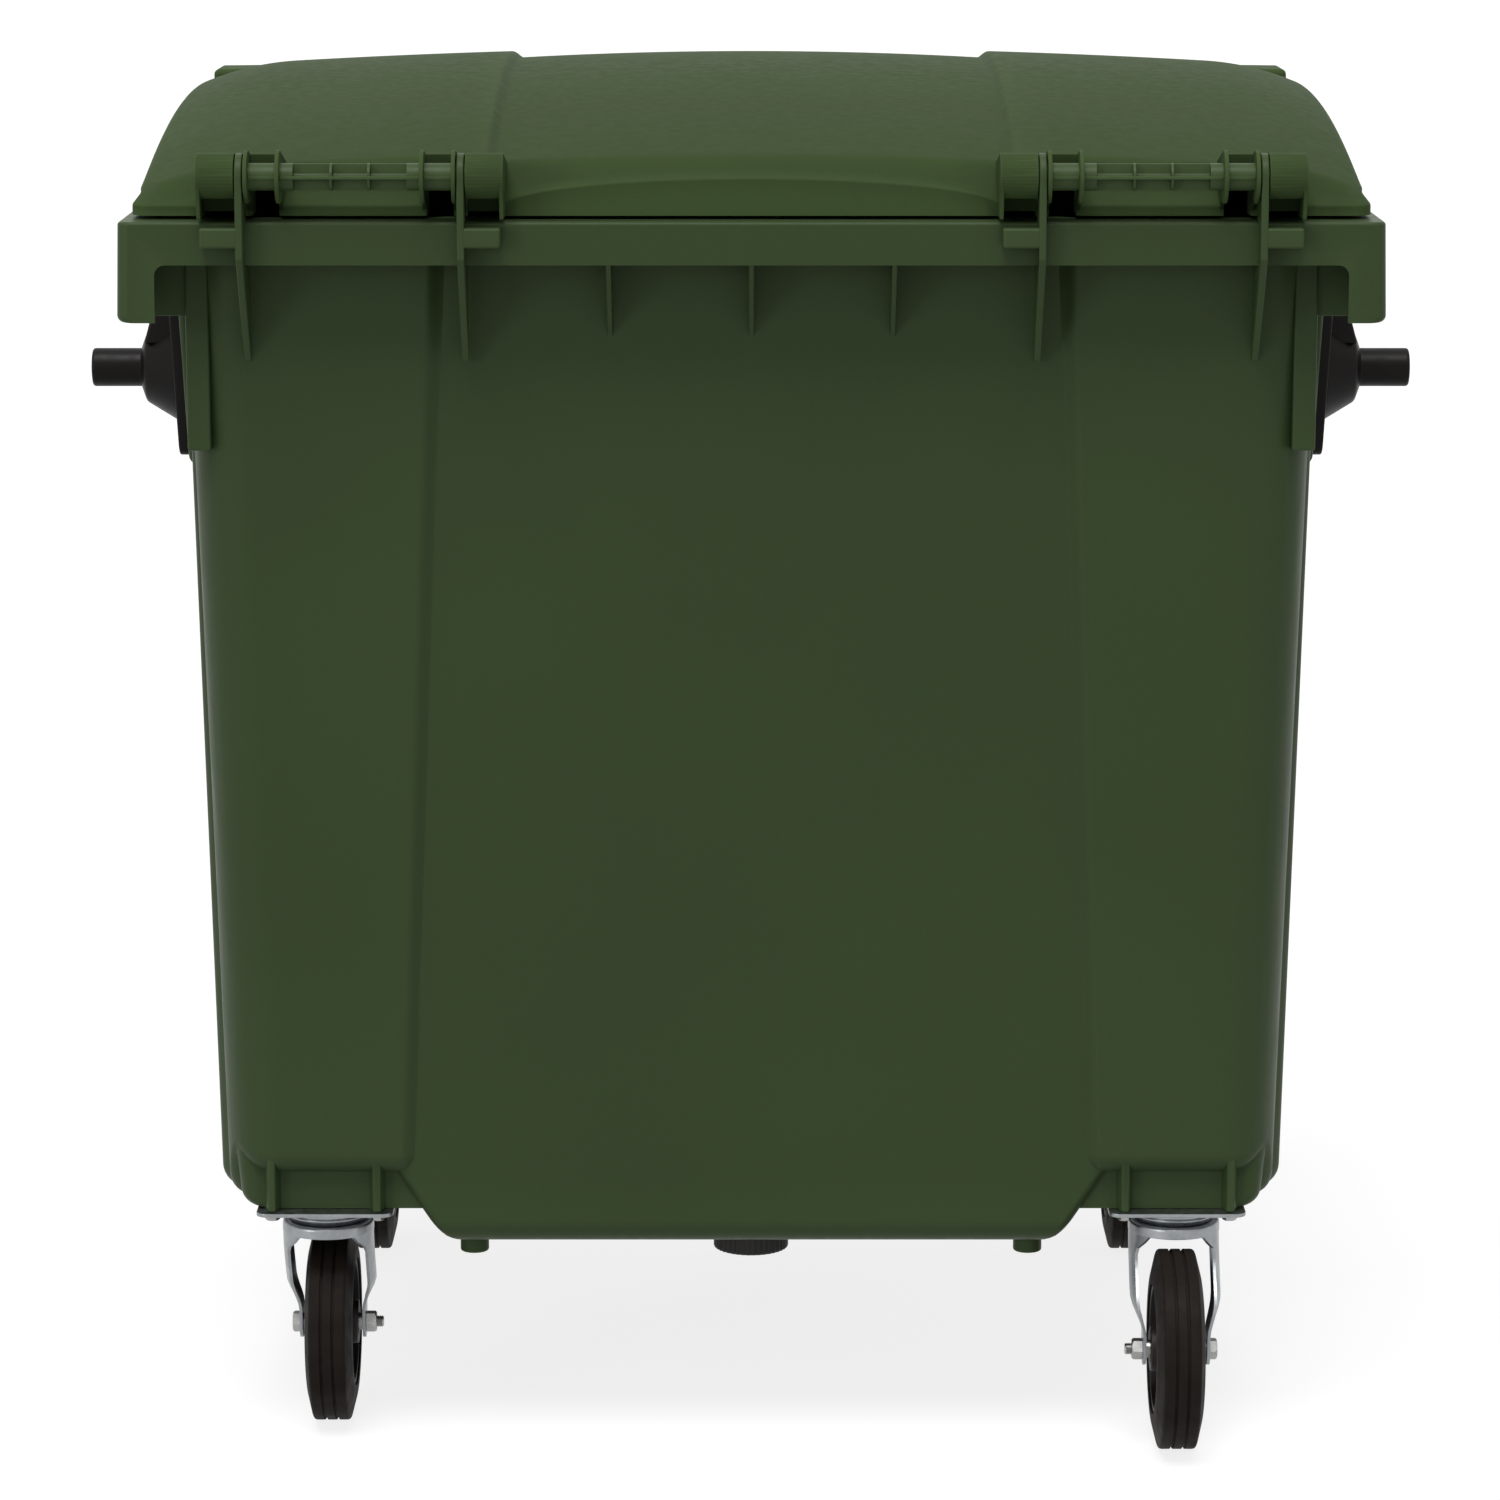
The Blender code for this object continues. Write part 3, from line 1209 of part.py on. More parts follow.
def leg_ring(side, z, middle, half, flatness, crown, flat):
    """One level of a fork leg: a strip that is curved like the crown or flat like the axle end."""
    outer = []
    inner = []
    for step in range(-1, 2):
        offset = half * step
        curved = math.sqrt(max(crown * crown - offset * offset, 0.0))
        x = lerp(curved, flat, flatness)
        outer.append(Vector((side * x, middle + offset, z)))
        inner.append(Vector((side * (x - FORK_SHEET), middle + offset, z)))
    return outer + inner[::-1]


def fork_ears():
    """Ears on a braked fork that carry the pedal's pivot."""
    solids = []
    low = FORK_TOP - FORK_HEADROOM
    middle = TRAIL + PEDAL_PIVOT_AHEAD
    for side in SIDES:
        inner = side * FORK_INSIDE_WIDTH / 2
        low_x, high_x = sorted((inner, inner + side * FORK_SHEET))
        start = (low_x, middle - EAR_BACK - PEDAL_PIVOT_AHEAD, low)
        solids.append(box("ear", start, (high_x, middle + EAR_FRONT - PEDAL_PIVOT_AHEAD, FORK_TOP - CLEARANCE)))
    return solids


def fork_mesh(name, braked, finish):
    """The fork: a round pressed crown with two legs and, on a braked caster, two ears."""
    hole = bore(KINGPIN_RADIUS, CROWN_STEPS)
    low = FORK_TOP - CROWN_SKIRT
    floor = FORK_TOP - CROWN_TOP_THICKNESS
    profile = [
        (hole, floor),
        (CROWN_RADIUS - FORK_SHEET, floor),
        (CROWN_RADIUS - FORK_SHEET, low),
        (CROWN_RADIUS, low),
        (CROWN_RADIUS, FORK_TOP - CROWN_CHAMFER),
        (CROWN_RADIUS - CROWN_CHAMFER, FORK_TOP),
        (hole, FORK_TOP),
    ]
    fork = revolve(name, profile, "Z", CROWN_STEPS)
    additions = [fork_leg(side) for side in SIDES]
    cuts = []
    if braked:
        additions += fork_ears()
        place = (0.0, TRAIL + PEDAL_PIVOT_AHEAD, FORK_TOP - PEDAL_PIVOT_BELOW_TOP)
        reach = CROWN_RADIUS
        cuts.append(cylinder("pivot", bore(PEDAL_PIVOT_RADIUS, AXLE_STEPS), "X", -reach, reach, AXLE_STEPS, place))
    union(fork, additions)
    place = (0.0, TRAIL, WHEEL_RADIUS)
    reach = FORK_INSIDE_WIDTH / 2 + FORK_SHEET + OVERRUN
    cuts.append(cylinder("axle_hole", bore(AXLE_RADIUS, AXLE_STEPS), "X", -reach, reach, AXLE_STEPS, place))
    return dress(cut(fork, cuts), name, finish)


def bearing_mesh(finish):
    """The covered double ball race between the plate and the fork."""
    low = BEARING_LOW
    top = BEARING_LOW + BEARING_HEIGHT
    profile = [
        (BEARING_INNER_RADIUS, low),
        (BEARING_OUTER_RADIUS - BEARING_CHAMFER, low),
        (BEARING_OUTER_RADIUS, low + BEARING_CHAMFER),
        (BEARING_OUTER_RADIUS, top),
        (BEARING_INNER_RADIUS, top),
    ]
    return dress(revolve("swivel_bearing", profile, "Z", BEARING_STEPS), "swivel_bearing", finish)


def plate_mesh(finish):
    """The caster's top plate, with its bolt holes and the kingpin that carries the fork."""
    outline = rounded_rectangle(PLATE_LENGTH / 2, PLATE_WIDTH / 2, PLATE_CORNER, 3)
    plate = prism("caster_plate", outline, "Z", PLATE_LOW, PLATE_TOP)
    head_top = FORK_TOP - CROWN_TOP_THICKNESS - CLEARANCE
    profile = [
        (0, PLATE_LOW + SINK),
        (KINGPIN_RADIUS, PLATE_LOW + SINK),
        (KINGPIN_RADIUS, head_top),
        (KINGPIN_HEAD_RADIUS, head_top),
        (KINGPIN_HEAD_RADIUS, head_top - KINGPIN_HEAD_HEIGHT),
        (0, head_top - KINGPIN_HEAD_HEIGHT),
    ]
    union(plate, [revolve("kingpin", profile, "Z", PIN_STEPS)])
    radius = bore(PLATE_BOLT_RADIUS, AXLE_STEPS)
    holes = [
        cylinder("hole", radius, "Z", PLATE_LOW - OVERRUN, PLATE_TOP + OVERRUN, AXLE_STEPS, (x, y, 0.0))
        for x, y in plate_holes()
    ]
    return dress(cut(plate, holes), "caster_plate", finish)


def plate_bolt_mesh(finish):
    """A hexagon bolt that goes up through the plate into the block."""
    top = BLOCK_LOW + PLATE_BOLT_GRIP
    head_top = PLATE_LOW - CLEARANCE
    shank = cylinder("shank", PLATE_BOLT_RADIUS, "Z", head_top - SINK, top, AXLE_STEPS)
    radius = hex_radius(PLATE_BOLT_HEAD_WIDTH)
    head = cylinder("plate_bolt", radius, "Z", head_top - PLATE_BOLT_HEAD_HEIGHT, head_top, 6)
    return dress(union(head, [shank]), "plate_bolt", finish)


def pedal_mesh(finish):
    """A foot plate on two stub pins, with a shoe over the tread, drawn from its pivot."""
    half = FORK_INSIDE_WIDTH / 2 - RUNNING_GAP
    bend = PEDAL_REACH * PEDAL_FLAT_SHARE
    thick = PEDAL_SHEET / 2
    outline = [
        (-thick, -thick),
        (bend, -2 * thick),
        (PEDAL_REACH, -PEDAL_DROP - thick),
        (PEDAL_REACH, -PEDAL_DROP + thick),
        (bend, 0.0),
        (-thick, thick),
    ]
    pedal = prism("brake_pedal", outline, "X", -half, half)
    reach = FORK_INSIDE_WIDTH / 2 + FORK_SHEET
    stub = cylinder("stub", PEDAL_PIVOT_RADIUS, "X", -reach, reach, AXLE_STEPS)
    from_axle = PEDAL_PIVOT_AHEAD + PEDAL_SHOE_AHEAD
    tread = math.sqrt(WHEEL_RADIUS ** 2 - from_axle ** 2) + WHEEL_RADIUS
    shoe_low = tread + PEDAL_SHOE_GAP - (FORK_TOP - PEDAL_PIVOT_BELOW_TOP)
    start = PEDAL_SHOE_AHEAD - PEDAL_SHOE_LENGTH / 2
    low = (-TREAD_WIDTH / 2, start, shoe_low)
    shoe = box("shoe", low, (TREAD_WIDTH / 2, start + PEDAL_SHOE_LENGTH, -thick))
    return dress(union(pedal, [stub, shoe]), "brake_pedal", finish)


def place_copy(source, name, parent, location=(0.0, 0.0, 0.0)):
    """A new object that shares a mesh and hangs from a parent."""
    copy = bpy.data.objects.new(name, source.data)
    bpy.context.scene.collection.objects.link(copy)
    copy.parent = parent
    copy.location = location
    return copy


def empty(name, location, heading, parent=None):
    found = bpy.data.objects.new(name, None)
    bpy.context.scene.collection.objects.link(found)
    found.parent = parent
    found.location = location
    found.rotation_euler = (0.0, 0.0, math.radians(heading))
    return found


def casters(steel, zinc, rubber, plastic, pedal_paint):
    """Four swivel casters; the two at the front have brakes."""
    plate = plate_mesh(zinc)
    bearing = bearing_mesh(zinc)
    fork = fork_mesh("fork", False, zinc)
    braked_fork = fork_mesh("braked_fork", True, zinc)
    wheel = wheel_mesh(plastic)
    tyre = tyre_mesh(rubber)
    sleeve = axle_sleeve_mesh(steel)
    axle_bolt = axle_bolt_mesh(steel)
    nut = axle_nut_mesh(steel)
    plate_bolt = plate_bolt_mesh(steel)
    pedal = pedal_mesh(pedal_paint)
    for corner, (x, y), heading in caster_places():
        braked = corner.startswith("front")
        swivel = empty("caster_" + corner, (x, y, 0.0), heading)
        axle = empty("axle_" + corner, (0.0, TRAIL, WHEEL_RADIUS), 0, swivel)
        place_copy(plate, "caster_plate_" + corner, swivel)
        place_copy(bearing, "swivel_bearing_" + corner, swivel)
        place_copy(braked_fork if braked else fork, "fork_" + corner, swivel)
        place_copy(wheel, "wheel_" + corner, axle)
        place_copy(tyre, "tyre_" + corner, axle)
        place_copy(sleeve, "axle_sleeve_" + corner, axle)
        place_copy(axle_bolt, "axle_bolt_" + corner, axle)
        place_copy(nut, "axle_nut_" + corner, axle)
        for number, (hole_x, hole_y) in enumerate(plate_holes(), 1):
            place_copy(plate_bolt, f"plate_bolt_{corner}_{number}", swivel, (hole_x, hole_y, 0.0))
        if braked:
            pivot = (0.0, TRAIL + PEDAL_PIVOT_AHEAD, FORK_TOP - PEDAL_PIVOT_BELOW_TOP)
            place_copy(pedal, "brake_pedal_" + corner, swivel, pivot)
    for source in (plate, bearing, fork, braked_fork, wheel, tyre, sleeve, axle_bolt, nut, plate_bolt, pedal):
        bpy.data.objects.remove(source, do_unlink=True)


def main():
    clear_scene()
    body_plastic = material("body_plastic", (0.040, 0.061, 0.028), 0.45, 0.0)
    lid_plastic = material("lid_plastic", (0.052, 0.078, 0.036), 0.40, 0.0)
    rod_plastic = material("rod_plastic", (0.052, 0.078, 0.036), 0.40, 0.0)
    trunnion_black = material("trunnion_black", (0.014, 0.011, 0.011), 0.45, 0.0)
    plug_plastic = material("plug_plastic", (0.018, 0.018, 0.018), 0.50, 0.0)
    seal_rubber = material("seal_rubber", (0.015, 0.015, 0.015), 0.80, 0.0)
    bolt_steel = material("bolt_steel", (0.50, 0.50, 0.50), 0.35, 1.0)
    zinc_steel = material("zinc_steel", (0.60, 0.61, 0.62), 0.40, 1.0)
    tyre_rubber = material("tyre_rubber", (0.017, 0.013, 0.012), 0.85, 0.0)
    wheel_plastic = material("wheel_plastic", (0.020, 0.018, 0.016), 0.60, 0.0)
    pedal_paint = material("pedal_paint", (0.35, 0.02, 0.02), 0.45, 0.0)

    container_body(body_plastic)
    lid(lid_plastic)
    for word, side in (("left", -1), ("right", 1)):
        hinge_rod("hinge_rod_" + word, side, rod_plastic)
        trunnion("trunnion_" + word, side, trunnion_black)
    drain_plug(plug_plastic)
    drain_seal(seal_rubber)
    casters(bolt_steel, zinc_steel, tyre_rubber, wheel_plastic, pedal_paint)


main()
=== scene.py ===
"""The looks of a four-wheeled waste container: fine meshes over its parts, finishes, light and camera.

Metres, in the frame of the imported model: +Z up, and the hinge side faces -Y.
"""

import math

import bmesh
import bpy
from mathutils import Matrix, Vector

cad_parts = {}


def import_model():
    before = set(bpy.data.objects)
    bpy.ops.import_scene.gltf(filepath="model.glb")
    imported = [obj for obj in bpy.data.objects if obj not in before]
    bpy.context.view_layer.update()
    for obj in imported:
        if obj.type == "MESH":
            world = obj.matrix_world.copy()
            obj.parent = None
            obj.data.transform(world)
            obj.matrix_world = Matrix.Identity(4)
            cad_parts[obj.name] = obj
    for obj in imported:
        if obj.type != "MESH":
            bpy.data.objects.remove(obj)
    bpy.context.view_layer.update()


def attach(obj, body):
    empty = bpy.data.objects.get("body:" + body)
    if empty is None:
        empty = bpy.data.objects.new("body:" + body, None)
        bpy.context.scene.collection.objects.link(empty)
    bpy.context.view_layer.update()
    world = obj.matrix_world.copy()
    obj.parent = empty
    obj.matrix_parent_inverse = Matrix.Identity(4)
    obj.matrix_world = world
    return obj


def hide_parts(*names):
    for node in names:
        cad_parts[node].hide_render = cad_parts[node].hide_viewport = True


SIDES = (-1, 1)
CORNERS = [(x_side, y_side) for x_side in SIDES for y_side in SIDES]
CLEARANCE = 0.0003
RUNNING_GAP = 0.001
OVERRUN = 0.004
SINK = 0.002
FLAT = 0.000001
HAIRLINE = 0.0001

# Widths of rounded edges, and the angles in degrees from which an edge is rounded or shaded sharp
SLEEVE_EDGE = 0.0003
FINE_EDGE = 0.0005
FIN_EDGE = 0.0006
THIN_EDGE = 0.0008
SMALL_EDGE = 0.001
FIRM_EDGE = 0.0012
LUG_EDGE = 0.0014
ROUND_EDGE = 0.0015
BLUNT_EDGE = 0.002
SOFT_EDGE = 0.0025
WIDE_EDGE = 0.003
PAD_EDGE = 0.005
GRIP_EDGE = 0.006
EDGE_ANGLE = 30
STEEP_EDGE_ANGLE = 50
SHADING_ANGLE = 32
FLUTE_SHADING_ANGLE = 60

# Numbers of sides of round forms
SCREW_SIDES = 24
SHANK_SIDES = 32
PIN_SIDES = 40
BORE_SIDES = 48
SEAL_SIDES = 64
BOSS_SIDES = 72
WHEEL_SIDES = 96
TYRE_SIDES = 112

# Tub
TUB_BOTTOM = 0.2445
TUB_HEIGHT = 0.9945
TUB_WALL = 0.005
TUB_CORNER = 0.060
TUB_FILLET = 0.022
FACE_HALF_DEPTH_LOW = 0.4173
FACE_HALF_DEPTH_TOP = 0.468
PANEL_RECESS = 0.010
CREASE_HALF_WIDTH_LOW = 0.3406
CREASE_HALF_WIDTH_TOP = 0.3008
CREASE_SLOPE = 0.020
SIDE_HALF_WIDTH_LOW = 0.5358
SIDE_HALF_WIDTH_TOP = 0.5602
SIDE_STEP = 0.011
SIDE_STEP_SLOPE = 0.020
SIDE_PANEL_HALF_DEPTH = 0.330
COLUMN_LIFT = 0.035
COLUMN_LIFT_START = 0.0623
COLUMN_LIFT_RUN = 0.040
COLUMN_CORNER_RISE = 0.022
COLUMN_CORNER_RUN = 0.036

# Hopper-shaped lower centre
HOPPER_BOTTOM = 0.2045
HOPPER_HALF_WIDTH = 0.3058
HOPPER_FLARE = 0.0647
HOPPER_FILLET = 0.026
HOPPER_SIDE_FILLET = 0.0156
HOPPER_CORNER = 0.012
HOPPER_OVERLAP = 0.060
HOPPER_PROUD = 0.0002
FOOT_PLACE = (0.2795, -0.3547)
FOOT_RADIUS = 0.0144
FOOT_LENGTH = 0.0185
FOOT_ROUND = 0.0025

# Rim
RIM_TOP = 1.239
RIM_HALF_WIDTH = 0.602
RIM_HALF_DEPTH = 0.515
RIM_FLARE = 0.002
RIM_WALL = 0.005
RIM_CORNER = 0.012
RIM_EDGE = 0.0035
SKIRT_HEIGHT = 0.041
END_PLATE_HEIGHT = 0.096
END_PLATE_WIDTH = 0.035
END_PLATE_ROUND = 0.007
NOTCH_CORNER = 0.010
WEB_PLATE_SETBACK = 0.070
GUSSET_HEIGHT = 0.119
GUSSET_SPACING = 0.136

# Corner posts, caster blocks and trunnion pads
POST_WIDTH = 0.0225
POST_DEPTH = 0.075
POST_HEIGHT = 0.221
POST_SETBACK = 0.013
POST_INSET = 0.0047
BLOCK_LOW = 0.2418
BLOCK_INNER = 0.322
BLOCK_OUTER = 0.5122
BLOCK_BACK = 0.300
BLOCK_FRONT = 0.400
BLOCK_CORNER = 0.018
BLOCK_PLAN_CORNER = 0.020
BLOCK_LEAN = 0.005
BLOCK_RIB_THICKNESS = 0.007
BLOCK_RIB_ROOT = 0.017
BLOCK_RIB_REACH = 0.0155
BLOCK_RIB_RISE = 0.055
FLOOR_PAD_MARGIN = 0.010
FLOOR_PAD_HEIGHT = 0.018
PAD_HALF_DEPTH = 0.105
PAD_HEIGHT = 0.260
PAD_BELOW_RIM = 0.039
PAD_STAND_OUT_TOP = 0.034
PAD_STAND_OUT_LOW = 0.026
PAD_SLOPE_HEIGHT = 0.017

# Trunnions
TRUNNION_Z = 1.0425
TRUNNION_PLATE_HALF_DEPTH = 0.080
TRUNNION_PLATE_UP = 0.0955
TRUNNION_PLATE_DOWN = 0.0835
TRUNNION_PLATE_THICKNESS = 0.012
TRUNNION_PLATE_CORNER = 0.012
TRUNNION_BOSS_RADIUS = 0.056
TRUNNION_COLLAR_RADIUS = 0.036
TRUNNION_NECK_RADIUS = 0.0225
TRUNNION_PIN_RADIUS = 0.020
TRUNNION_BOSS_LENGTH = 0.035
TRUNNION_COLLAR_LENGTH = 0.005
TRUNNION_PIN_LENGTH = 0.052
TRUNNION_FIN_HALF_DEPTH = 0.034
TRUNNION_FIN_LEAN = 0.018
TRUNNION_FIN_OVERLAP = 0.008
TRUNNION_ROUNDING = (0.001, 0.002, 0.003, 0.001, 0.001, 0.0035)

# Hinge
HINGE_Y = -0.516
HINGE_Z = 1.282
HINGE_CENTRE = 0.3794
LUG_HALF_SPACING = 0.1046
LUG_THICKNESS = 0.007
LUG_RADIUS = 0.0225
LUG_RIB_DROP = 0.139
LUG_SKIRT_DROP = 0.034
ROD_RADIUS = 0.013
ROD_CORE_RADIUS = 0.004
ROD_LATTICE_HALF_LENGTH = 0.0536
ROD_BAYS = 3
ROD_FIN_THICKNESS = 0.003
ROD_FIN_PROUD = 0.0012
ROD_DISC_THICKNESS = 0.0028
CAP_LENGTH = 0.036
CAP_WALL = 0.004
CAP_RADIUS = 0.0225
CAP_MOUTH_DROP = 0.020
CAP_END_GAP = 0.005
CAP_CHEEK_FOOT = 0.012
CAP_CHEEK_END = 200
CAP_INSIDE_START = -30
BOX_PLATE_THICKNESS = 0.004
BOX_PLATE_RADIUS = 0.0252
BOX_PLATE_START = 70
BOX_PLATE_END = 300
BOX_ARM_AHEAD = 0.040
BOX_WIDTH = 0.034
BOX_WALL_AHEAD = 0.020
BOX_WALL_RISE = 0.020
TAB_LENGTH = 0.034
TAB_HEIGHT = 0.019
TAB_BELOW_RIM = 0.004
TAB_REACH = 0.0235

# Lid
LID_BOTTOM = 1.2425
LID_CROWN = 1.3665
LID_LIP = 0.010
LID_WALL = 0.0045
LIP_HALF_WIDTH = 0.5915
LIP_REAR = 0.485
LIP_FRONT = 0.5413
LIP_LEDGE = 0.0095
LIP_WIDTH = 0.012
FOOT_HALF_WIDTH = 0.5848
DOME_HALF_WIDTH = 0.5872
DOME_REAR = 0.450
DOME_FRONT = 0.5328
DOME_CORNER = 0.018
DOME_EDGE = 0.008
CROWN_AHEAD = 0.110
REAR_DROP = 0.0655
FRONT_DROP = 0.053
SIDE_DROP = 0.020
EDGE_DROP = 0.018
EDGE_WIDTH = 0.100
CENTRE_STEP = 0.0071
CENTRE_DROP = 0.0068
CENTRE_HALF_WIDTH = 0.250
CENTRE_STEP_SLOPE = 0.012
CENTRE_LIP_RISE = 0.026
CENTRE_LIP_HALF_WIDTH = 0.235
LEDGE_ROUND = 0.004
LIP_ROUND = 0.0025
ROUNDING_SHARE = 0.45
TROUGH_HALF_WIDTH = 0.528
TROUGH_SLOPE_WIDTH = 0.020
TROUGH_AHEAD = 0.350
TROUGH_SLOPE_LENGTH = 0.040
TROUGH_DEPTH = 0.011
PAD_LENGTH = 0.040
PAD_WIDTH = 0.008
PAD_SPACING = 0.600
GRIP_LENGTH = 0.097
GRIP_DEPTH = 0.083
GRIP_WALL = 0.005
GRIP_TOP_INNER = 1.3265
GRIP_OUTER_DROP = 0.001
GRIP_SKIRT = 0.056

# Drain plug
DRAIN_PLACE = (0.0, -0.3127, 0.2045)
DRAIN_CAP_RADIUS = 0.038
DRAIN_CAP_HEIGHT = 0.024
DRAIN_CAP_CHAMFER = 0.003
DRAIN_NECK_RADIUS = 0.029
DRAIN_NECK_RISE = 0.004
DRAIN_SEAL_THICKNESS = 0.002
DRAIN_FLUTES = 40
DRAIN_FLUTE_DEPTH = 0.0015
DRAIN_ROUNDING = (DRAIN_CAP_CHAMFER, 0.0012, 0.0005, 0.001)

# Casters
CASTER_HALF_SPACING_X = 0.4264
CASTER_HALF_SPACING_Y = 0.366
TRAIL = 0.048
WHEEL_RADIUS = 0.100
AXLE = (0.0, TRAIL, WHEEL_RADIUS)
TYRE_WIDTH = 0.048
TREAD_WIDTH = 0.036
TREAD_SHOULDER = 0.010
SHOULDER_WIDTH = 0.041
SIDEWALL_DEPTH = 0.024
GROOVE_OFFSET = 0.0059
GROOVE_WIDTH = 0.003
GROOVE_DEPTH = 0.0025
TYRE_ROUNDING = (0.003, 0.003, 0.003, 0.0006, 0.0004, 0.0004, 0.0006)
WHEEL_RIM_RADIUS = 0.065
WHEEL_RIM_WIDTH = 0.044
WHEEL_RIM_THICKNESS = 0.005
WHEEL_WEB = 0.006
HUB_RADIUS = 0.022
HUB_WIDTH = 0.052
HUB_TAPER = 0.002
WHEEL_ROUNDING = (0.0015, 0.003, 0.003, 0.001)
LIGHTENING_RADIUS = 0.011
LIGHTENING_CIRCLE = 0.041
LIGHTENING_COUNT = 5
AXLE_RADIUS = 0.006
SLEEVE_WALL = 0.0027
AXLE_HEAD_WIDTH = 0.019
AXLE_HEAD_HEIGHT = 0.0075
AXLE_NUT_HEIGHT = 0.0105
AXLE_TIP = 0.007
AXLE_TIP_CHAMFER = 0.0012
THREAD_PITCH = 0.00175
THREAD_CREST = 0.0002
THREAD_ROOT = 0.001
THREAD_DEPTH = 0.0009
HEXAGON_CHAMFER = 0.0018
HEXAGON_OVERSIZE = 1.1
HEXAGON_SHOULDER_SHARE = 0.99
HEXAGON_FACE_SHARE = 0.97
FORK_TOP = 0.2235
FORK_HEADROOM = 0.0235
FORK_SHEET = 0.003
FORK_INSIDE_WIDTH = 0.061
CROWN_RADIUS = 0.046
CROWN_SKIRT = 0.0115
CROWN_TOP_THICKNESS = 0.005
CROWN_ROUNDING = (0.002, 0.0006, 0.0006, 0.004)
LEG_TOP_HALF_WIDTH = 0.036
LEG_HALF_WIDTH = 0.021
LEG_STRAIGHT_SHARE = 0.60
LEG_NARROW_SHARE = 0.2
LEG_FOOT_RADIUS = 0.016
LEG_FOOT_SWEEP = 84
BEARING_LOW = 0.2238
BEARING_INNER_RADIUS = 0.030
BEARING_OUTER_RADIUS = 0.043
BEARING_HEIGHT = 0.0134
BEARING_GROOVE_SHARE = 0.55
BEARING_GROOVE_DEPTH = 0.002
BEARING_GROOVE_HALF_WIDTH = 0.0012
BEARING_FOOT_INSET = 0.004
BEARING_SIDE_INSET = 0.0005
BEARING_ROUNDING = (0.001, 0.0015, 0.0005, 0.0005, 0.0012)
PLATE_LOW = 0.2375
PLATE_LENGTH = 0.137
PLATE_WIDTH = 0.110
PLATE_THICKNESS = 0.004
PLATE_CORNER = 0.012
PLATE_HOLE_SPACING_X = 0.105
PLATE_HOLE_SPACING_Y = 0.080
PLATE_BOLT_RADIUS = 0.004
PLATE_BOLT_HEAD_WIDTH = 0.013
PLATE_BOLT_HEAD_HEIGHT = 0.0052
PLATE_BOLT_CHAMFER = 0.001
PLATE_BOLT_GRIP = 0.012
KINGPIN_RADIUS = 0.010
KINGPIN_HEAD_RADIUS = 0.014
KINGPIN_HEAD_HEIGHT = 0.0117
PEDAL_PIVOT_RADIUS = 0.003
PEDAL_PIVOT_AHEAD = 0.012
PEDAL_PIVOT_BELOW_TOP = 0.007
EAR_BACK = 0.023
EAR_FRONT = 0.022
PEDAL_PIVOT = (0.0, TRAIL + PEDAL_PIVOT_AHEAD, FORK_TOP - PEDAL_PIVOT_BELOW_TOP)
PEDAL_SHEET = 0.004
PEDAL_REACH = 0.066
PEDAL_DROP = 0.0185
PEDAL_FLAT_SHARE = 0.48
PEDAL_SHOE_AHEAD = 0.025
PEDAL_SHOE_LENGTH = 0.008
PEDAL_SHOE_GAP = 0.0070
PEDAL_RIDGE_SHARES = (0.60, 0.70, 0.80, 0.90)
PEDAL_RIDGE_LENGTH_SHARE = 0.8
PEDAL_RIDGE_HALF_WIDTH = 0.001
PEDAL_RIDGE_RISE = 0.0005
# Each caster's place and its heading in degrees
CASTER_PLACES = [
    ("rear_left", -CASTER_HALF_SPACING_X, -CASTER_HALF_SPACING_Y, 0),
    ("rear_right", CASTER_HALF_SPACING_X, -CASTER_HALF_SPACING_Y, 180),
    ("front_left", -CASTER_HALF_SPACING_X, CASTER_HALF_SPACING_Y, 180),
    ("front_right", CASTER_HALF_SPACING_X, CASTER_HALF_SPACING_Y, 180),
]

# Camera, as the photograph was taken
CAMERA_PLACE = (-0.00842, -5.6061, 1.68335)
CAMERA_TILT = 79.4
CAMERA_LENS = 128.9
CAMERA_SENSOR = 36.0
CAMERA_SHIFT = 0.00487
CAMERA_REACH = 200.0

# Lamps: azimuth and elevation in degrees, strength, and softness in degrees
LAMPS = {"key": (-12, 68, 2.4, 30), "fill": (-42, 10, 0.45, 16)}
SKY_LIGHT = 0.45
FLOOR_REACH = 60.0
FLOOR_GREY = (0.5, 0.5, 0.5, 1.0)
FLOOR_SHADE = (0.22, 0.22, 0.22, 1.0)
FLOOR_GLOW = 0.82

# Finishes by material slot. Plastics: colour, roughness, gloss, grain and painted edge highlight (how much
# paler sharp edges are made)
PLASTICS = {
    "body_plastic": ((0.0372, 0.0590, 0.0228), 0.42, 0.10, 900.0, 0.30),
    "lid_plastic": ((0.0375, 0.0600, 0.0222), 0.55, 0.020, 900.0, 0.70),
    "rod_plastic": ((0.0375, 0.0600, 0.0222), 0.42, 0.12, 900.0, 0.50),
    "trunnion_black": ((0.0045, 0.0034, 0.0030), 0.42, 0.12, 1100.0, 0.4),
    "plug_plastic": ((0.0080, 0.0065, 0.0060), 0.45, 0.25, 1100.0, 0.4),
    "wheel_plastic": ((0.0120, 0.0100, 0.0090), 0.50, 0.25, 1100.0, 0.3),
    "pedal_paint": ((0.3500, 0.0200, 0.0200), 0.40, 0.40, 700.0, 0.3),
}
# Rubbers: colour, roughness and grain
RUBBERS = {
    "seal_rubber": ((0.0100, 0.0100, 0.0100), 0.75, 900.0),
    "tyre_rubber": ((0.0085, 0.0060, 0.0045), 0.70, 650.0),
}
RUBBER_GLOSS = 0.12
# Steels: colour, roughness and the scale of the crystals
STEELS = {
    "bolt_steel": ((0.36, 0.36, 0.35), 0.30, 500.0),
    "zinc_steel": ((0.30, 0.315, 0.325), 0.32, 220.0),
}

